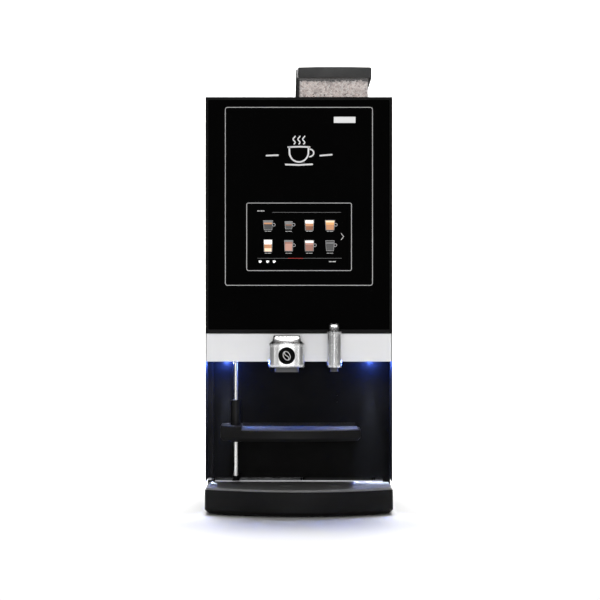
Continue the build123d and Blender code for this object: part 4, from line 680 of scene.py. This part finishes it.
def screen_arrow():
    """The arrow at the screen's right edge."""
    tip_x, tip_z = SCREEN.x + 97.8 * MM, SCREEN.z + 0.5 * MM
    reach = 5.5 * MM
    rise = 6.8 * MM
    front = layer_front(PICTURE_LAYER)
    bm = bmesh.new()
    stroke(bm, [(tip_x - reach, tip_z + rise), (tip_x, tip_z), (tip_x - reach, tip_z - rise)],
           0.9 * MM, front, front + LAYER_THICKNESS)
    piece("screen_arrow", bm, glowing("arrow_light", shade(0.5)), "door")


# ------------------------------------------------------------------ emblem on the outlet head
def head_emblem():
    """A black disc with a pale ring and a bean, wrapped on the bowed front of the head."""
    center_x = middle("head_cover").x
    front_y = low("head_cover").y
    z = low("head_cover").z + 25.5 * MM
    half_bow, bow_depth = 25.0 * MM, 3.0 * MM
    bow_radius = (half_bow ** 2 + bow_depth ** 2) / (2 * bow_depth)
    disc = 18.4 * MM
    ring_width = 0.9 * MM
    rows = 12
    steps = 64
    pin_hole = 0.05 * MM
    lean = math.radians(28)
    front, back = 0.0, 1.0

    def surface(x):
        return front_y + bow_radius - math.sqrt(bow_radius ** 2 - (x - center_x) ** 2)

    def wrapped(name, shapes, material, lift):
        """Draws the shapes flat from front to back, then lays both sides on the bow."""
        bm = bmesh.new()
        for kind, args in shapes:
            kind(bm, *args, front, back)
        for v in bm.verts:
            is_front = v.co.y < (front + back) / 2
            v.co.y = surface(v.co.x) - (lift if is_front else 0.0)
        piece(name, bm, material, "door")

    def turned(points):
        return [(center_x + px * math.cos(lean) - pz * math.sin(lean),
                 z + px * math.sin(lean) + pz * math.cos(lean)) for px, pz in points]

    def circle(radius):
        return circle_loop(center_x, z, radius, steps)

    ink = printed("emblem_black", shade(0.002), gloss=0.04)
    pale = printed("emblem_white", shade(0.85), 0.4)
    bands = []
    for i in range(rows):
        outer, inner = disc * (1 - i / rows), disc * (1 - (i + 1) / rows)
        bands.append((ribbon, (circle(max(inner, pin_hole)), circle(outer))))
    wrapped("head_emblem", bands, ink, 0.5 * MM)
    ring = (ribbon, (circle(disc), circle(disc + ring_width)))
    wrapped("head_emblem_ring", [ring], pale, 0.6 * MM)
    outside = turned(arc(0, 0, 7.6 * MM, 10.6 * MM, 0, 360, 48)[:-1])
    inside = turned(arc(0, 0, 6.3 * MM, 9.2 * MM, 0, 360, 48)[:-1])
    wrapped("head_emblem_bean", [(ribbon, (inside, outside))], pale, 0.75 * MM)
    sway = 1.9 * MM
    pitch = 1.95 * MM
    half_steps = 5
    seam = turned([(sway * math.sin(math.pi * (step + half_steps) / half_steps), step * pitch)
                   for step in range(-half_steps, half_steps + 1)])
    wrapped("head_emblem_seam", [(stroke, (seam, 1.3 * MM))], pale, 0.75 * MM)


# ------------------------------------------------------------------ coffee beans
def bean_shape():
    """One bean: a rounded half ellipsoid with the crease along its flat side."""
    half_length = 4.6 * MM
    half_width = 3.3 * MM
    half_height = 2.7 * MM
    flattening = 0.35
    crease_depth = 0.28
    crease_width = 0.22
    bm = bmesh.new()
    bmesh.ops.create_uvsphere(bm, u_segments=10, v_segments=7, radius=1.0)
    for v in bm.verts:
        x, y, z = v.co
        if z < 0:
            z *= flattening
            z += crease_depth * math.exp(-(y / crease_width) ** 2) * (1 - x * x)
        v.co = Vector((x * half_length, y * half_width, z * half_height))
    mesh = bpy.data.meshes.new("bean")
    bm.to_mesh(mesh)
    bm.free()
    return mesh


def bean_bed():
    """Loose beans packed against the hopper's walls and heaped at the top."""
    shape = bean_shape()
    wall_room = 3.2 * MM
    floor_room = 3.5 * MM
    half_bean = 3.0 * MM
    step = 6.1 * MM
    row_height = step * 0.8
    jitter = 1.6 * MM
    rise_jitter = 1.4 * MM
    size_drift = 0.12
    lowest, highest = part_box("coffee_beans")
    x_low, x_high = lowest.x + wall_room, highest.x - wall_room
    y_low, y_high = lowest.y + wall_room, highest.y - wall_room
    floor_z = high("top_panel").z + floor_room
    random.seed(11)
    bm = bmesh.new()

    def put(x, y, z):
        spin = Matrix.Rotation(random.uniform(0, math.tau), 4, "Z")
        tip = Matrix.Rotation(random.uniform(0, math.tau), 4, random.choice(("X", "Y")))
        size = Matrix.Scale(random.uniform(1 - size_drift, 1 + size_drift), 4)
        start = len(bm.verts)
        bm.from_mesh(shape)
        bm.verts.ensure_lookup_table()
        place = Matrix.Translation((x, y, z)) @ spin @ tip @ size
        for v in bm.verts[start:]:
            v.co = place @ v.co

    columns = int((x_high - x_low) / step)
    rows = int((highest.z - floor_z) / row_height)
    depth = int((y_high - y_low) / step)
    for row in range(rows + 1):
        z = floor_z + half_bean + row * row_height
        heaped = row >= rows - 1
        for i in range(columns + 1):
            for j in range(depth + 1):
                by_wall = i == 0 or j <= 1 or i == columns
                if not (by_wall or heaped):
                    continue
                x = x_low + (x_high - x_low) * i / columns + random.uniform(-jitter, jitter)
                y = y_low + (y_high - y_low) * j / depth + random.uniform(-jitter, jitter)
                put(min(max(x, x_low), x_high), min(max(y, y_low), y_high),
                    z + random.uniform(-rise_jitter, rise_jitter))
    beans = piece("loose_beans", bm, bean_skin("bean_skin"), "root")
    for polygon in beans.data.polygons:
        polygon.use_smooth = True
    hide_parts("coffee_beans")


# ------------------------------------------------------------------ stage, light and camera
def stage():
    """Paper sweep: a floor that bends up into a wall behind the machine.

    The reverse of the paper is clear, so the wall doesn't hide the machine from behind."""
    half_width = 7.0
    front_y = -6.0
    wall_y = 2.4
    wall_top = 6.0
    bend = 0.9
    bend_steps = 12
    paper = Shader("studio_paper", shade(0.9), 0.9)
    paper.vary(2.0, shade(0.89), shade(0.91))
    paper.grain(300.0, distance=0.05 * MM, strength=0.1)
    paper.let_reverse_through()
    profile = [(front_y, 0.0)] + arc(wall_y - bend, bend, bend, bend, -90, 0, bend_steps) + \
        [(wall_y, wall_top)]
    bm = bmesh.new()
    rows = [[bm.verts.new((side * half_width, y, z)) for side in (-1, 1)] for y, z in profile]
    for a, b in zip(rows, rows[1:]):
        bm.faces.new((a[0], a[1], b[1], b[0]))
    mesh = bpy.data.meshes.new("studio_sweep")
    bm.to_mesh(mesh)
    bm.free()
    for polygon in mesh.polygons:
        polygon.use_smooth = True
    mesh.materials.append(paper.material)
    sweep = bpy.data.objects.new("studio_sweep", mesh)
    bpy.context.scene.collection.objects.link(sweep)


def area_light(name, place, target, width, height, power):
    """A rectangular panel at a place, turned to face a target."""
    data = bpy.data.lights.new(name, "AREA")
    data.energy = power
    data.shape = "RECTANGLE"
    data.size = width
    data.size_y = height
    light = bpy.data.objects.new(name, data)
    light.location = place
    light.rotation_euler = (Vector(target) - Vector(place)).to_track_quat("-Z", "Y").to_euler()
    bpy.context.scene.collection.objects.link(light)


def lights():
    """Two softboxes in front, and panels overhead that leave the floor by the tray in shadow."""
    world = bpy.data.worlds.new("studio")
    world.use_nodes = True
    background = world.node_tree.nodes["Background"]
    background.inputs["Color"].default_value = (1.0, 1.0, 1.0, 1.0)
    background.inputs["Strength"].default_value = 0.04
    bpy.context.scene.world = world
    area_light("softbox_key", (0, -5.4, 1.2), (0, -0.2, 0.45), width=3.0, height=2.4, power=78)
    area_light("softbox_high", (0, -2.6, 3.3), (0, -0.2, 0.3), width=3.0, height=1.6, power=7)
    area_light("softbox_roof", (0, -0.35, 2.4), (0, -0.35, 0), width=0.5, height=0.3, power=2.6)
    area_light("softbox_floor", (0, 1.0, 2.8), (0, 1.0, 0), width=1.1, height=1.5, power=135)
    area_light("wall_light", (0, 0.9, 3.4), (0, 2.4, 0.8), width=3.0, height=0.8, power=95)


def lamp_light(name, kind, place, power, color, radius, cone=None):
    """A lamp light that hangs under the ceiling and rides with the lenses on the door."""
    data = bpy.data.lights.new(name, kind)
    data.energy = power
    data.color = color
    data.shadow_soft_size = radius
    if cone is not None:
        data.spot_size = math.radians(cone)
        data.spot_blend = 1.0
    light = bpy.data.objects.new(name, data)
    bpy.context.scene.collection.objects.link(light)
    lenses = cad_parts["led_lenses"]
    light.parent = lenses
    light.matrix_parent_inverse = lenses.matrix_world.inverted()
    light.location = place


def niche_lamps():
    """Both lamps under the niche ceiling: a narrow beam, a blue glow and a wide wash."""
    bpy.context.view_layer.update()
    lens_low, lens_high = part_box("led_lenses")
    lens_radius = (lens_high.y - lens_low.y) / 2
    y = lens_low.y + lens_radius
    z = lens_low.z
    lens_places = {"left": lens_low.x + lens_radius, "right": lens_high.x - lens_radius}
    for side, x in lens_places.items():
        lamp_light("lamp_beam_" + side, "SPOT", (x, y, z - 2 * MM), power=26.0,
                   color=(0.66, 0.74, 1.0), radius=4 * MM, cone=26)
        lamp_light("lamp_glow_" + side, "POINT", (x, y - 5 * MM, z - 4 * MM), power=1.4,
                   color=(0.09, 0.19, 1.0), radius=4 * MM)
        lamp_light("lamp_wash_" + side, "SPOT", (x, y - 30 * MM, z - 2 * MM), power=3.0,
                   color=(0.78, 0.82, 1.0), radius=12 * MM, cone=120)


def camera():
    """Level camera in front of the door, a little right of its middle."""
    distance = 4.3003
    eye_height = 0.465
    shift_right = 2.4 * MM
    data = bpy.data.cameras.new("camera")
    data.lens = 117.7
    data.sensor_width = 36.0
    view = bpy.data.objects.new("camera", data)
    view.location = (shift_right, GLASS_Y - distance, eye_height)
    view.rotation_euler = (math.pi / 2, 0, 0)
    bpy.context.scene.collection.objects.link(view)
    bpy.context.scene.camera = view
    bpy.context.scene.view_settings.view_transform = "Standard"


camera()
stage()
lights()
niche_lamps()
paint_nodes()
soften_edges()
glass_outlines()
cup_sign()
door_badge()
screen_drinks()
screen_bars()
screen_arrow()
head_emblem()
bean_bed()
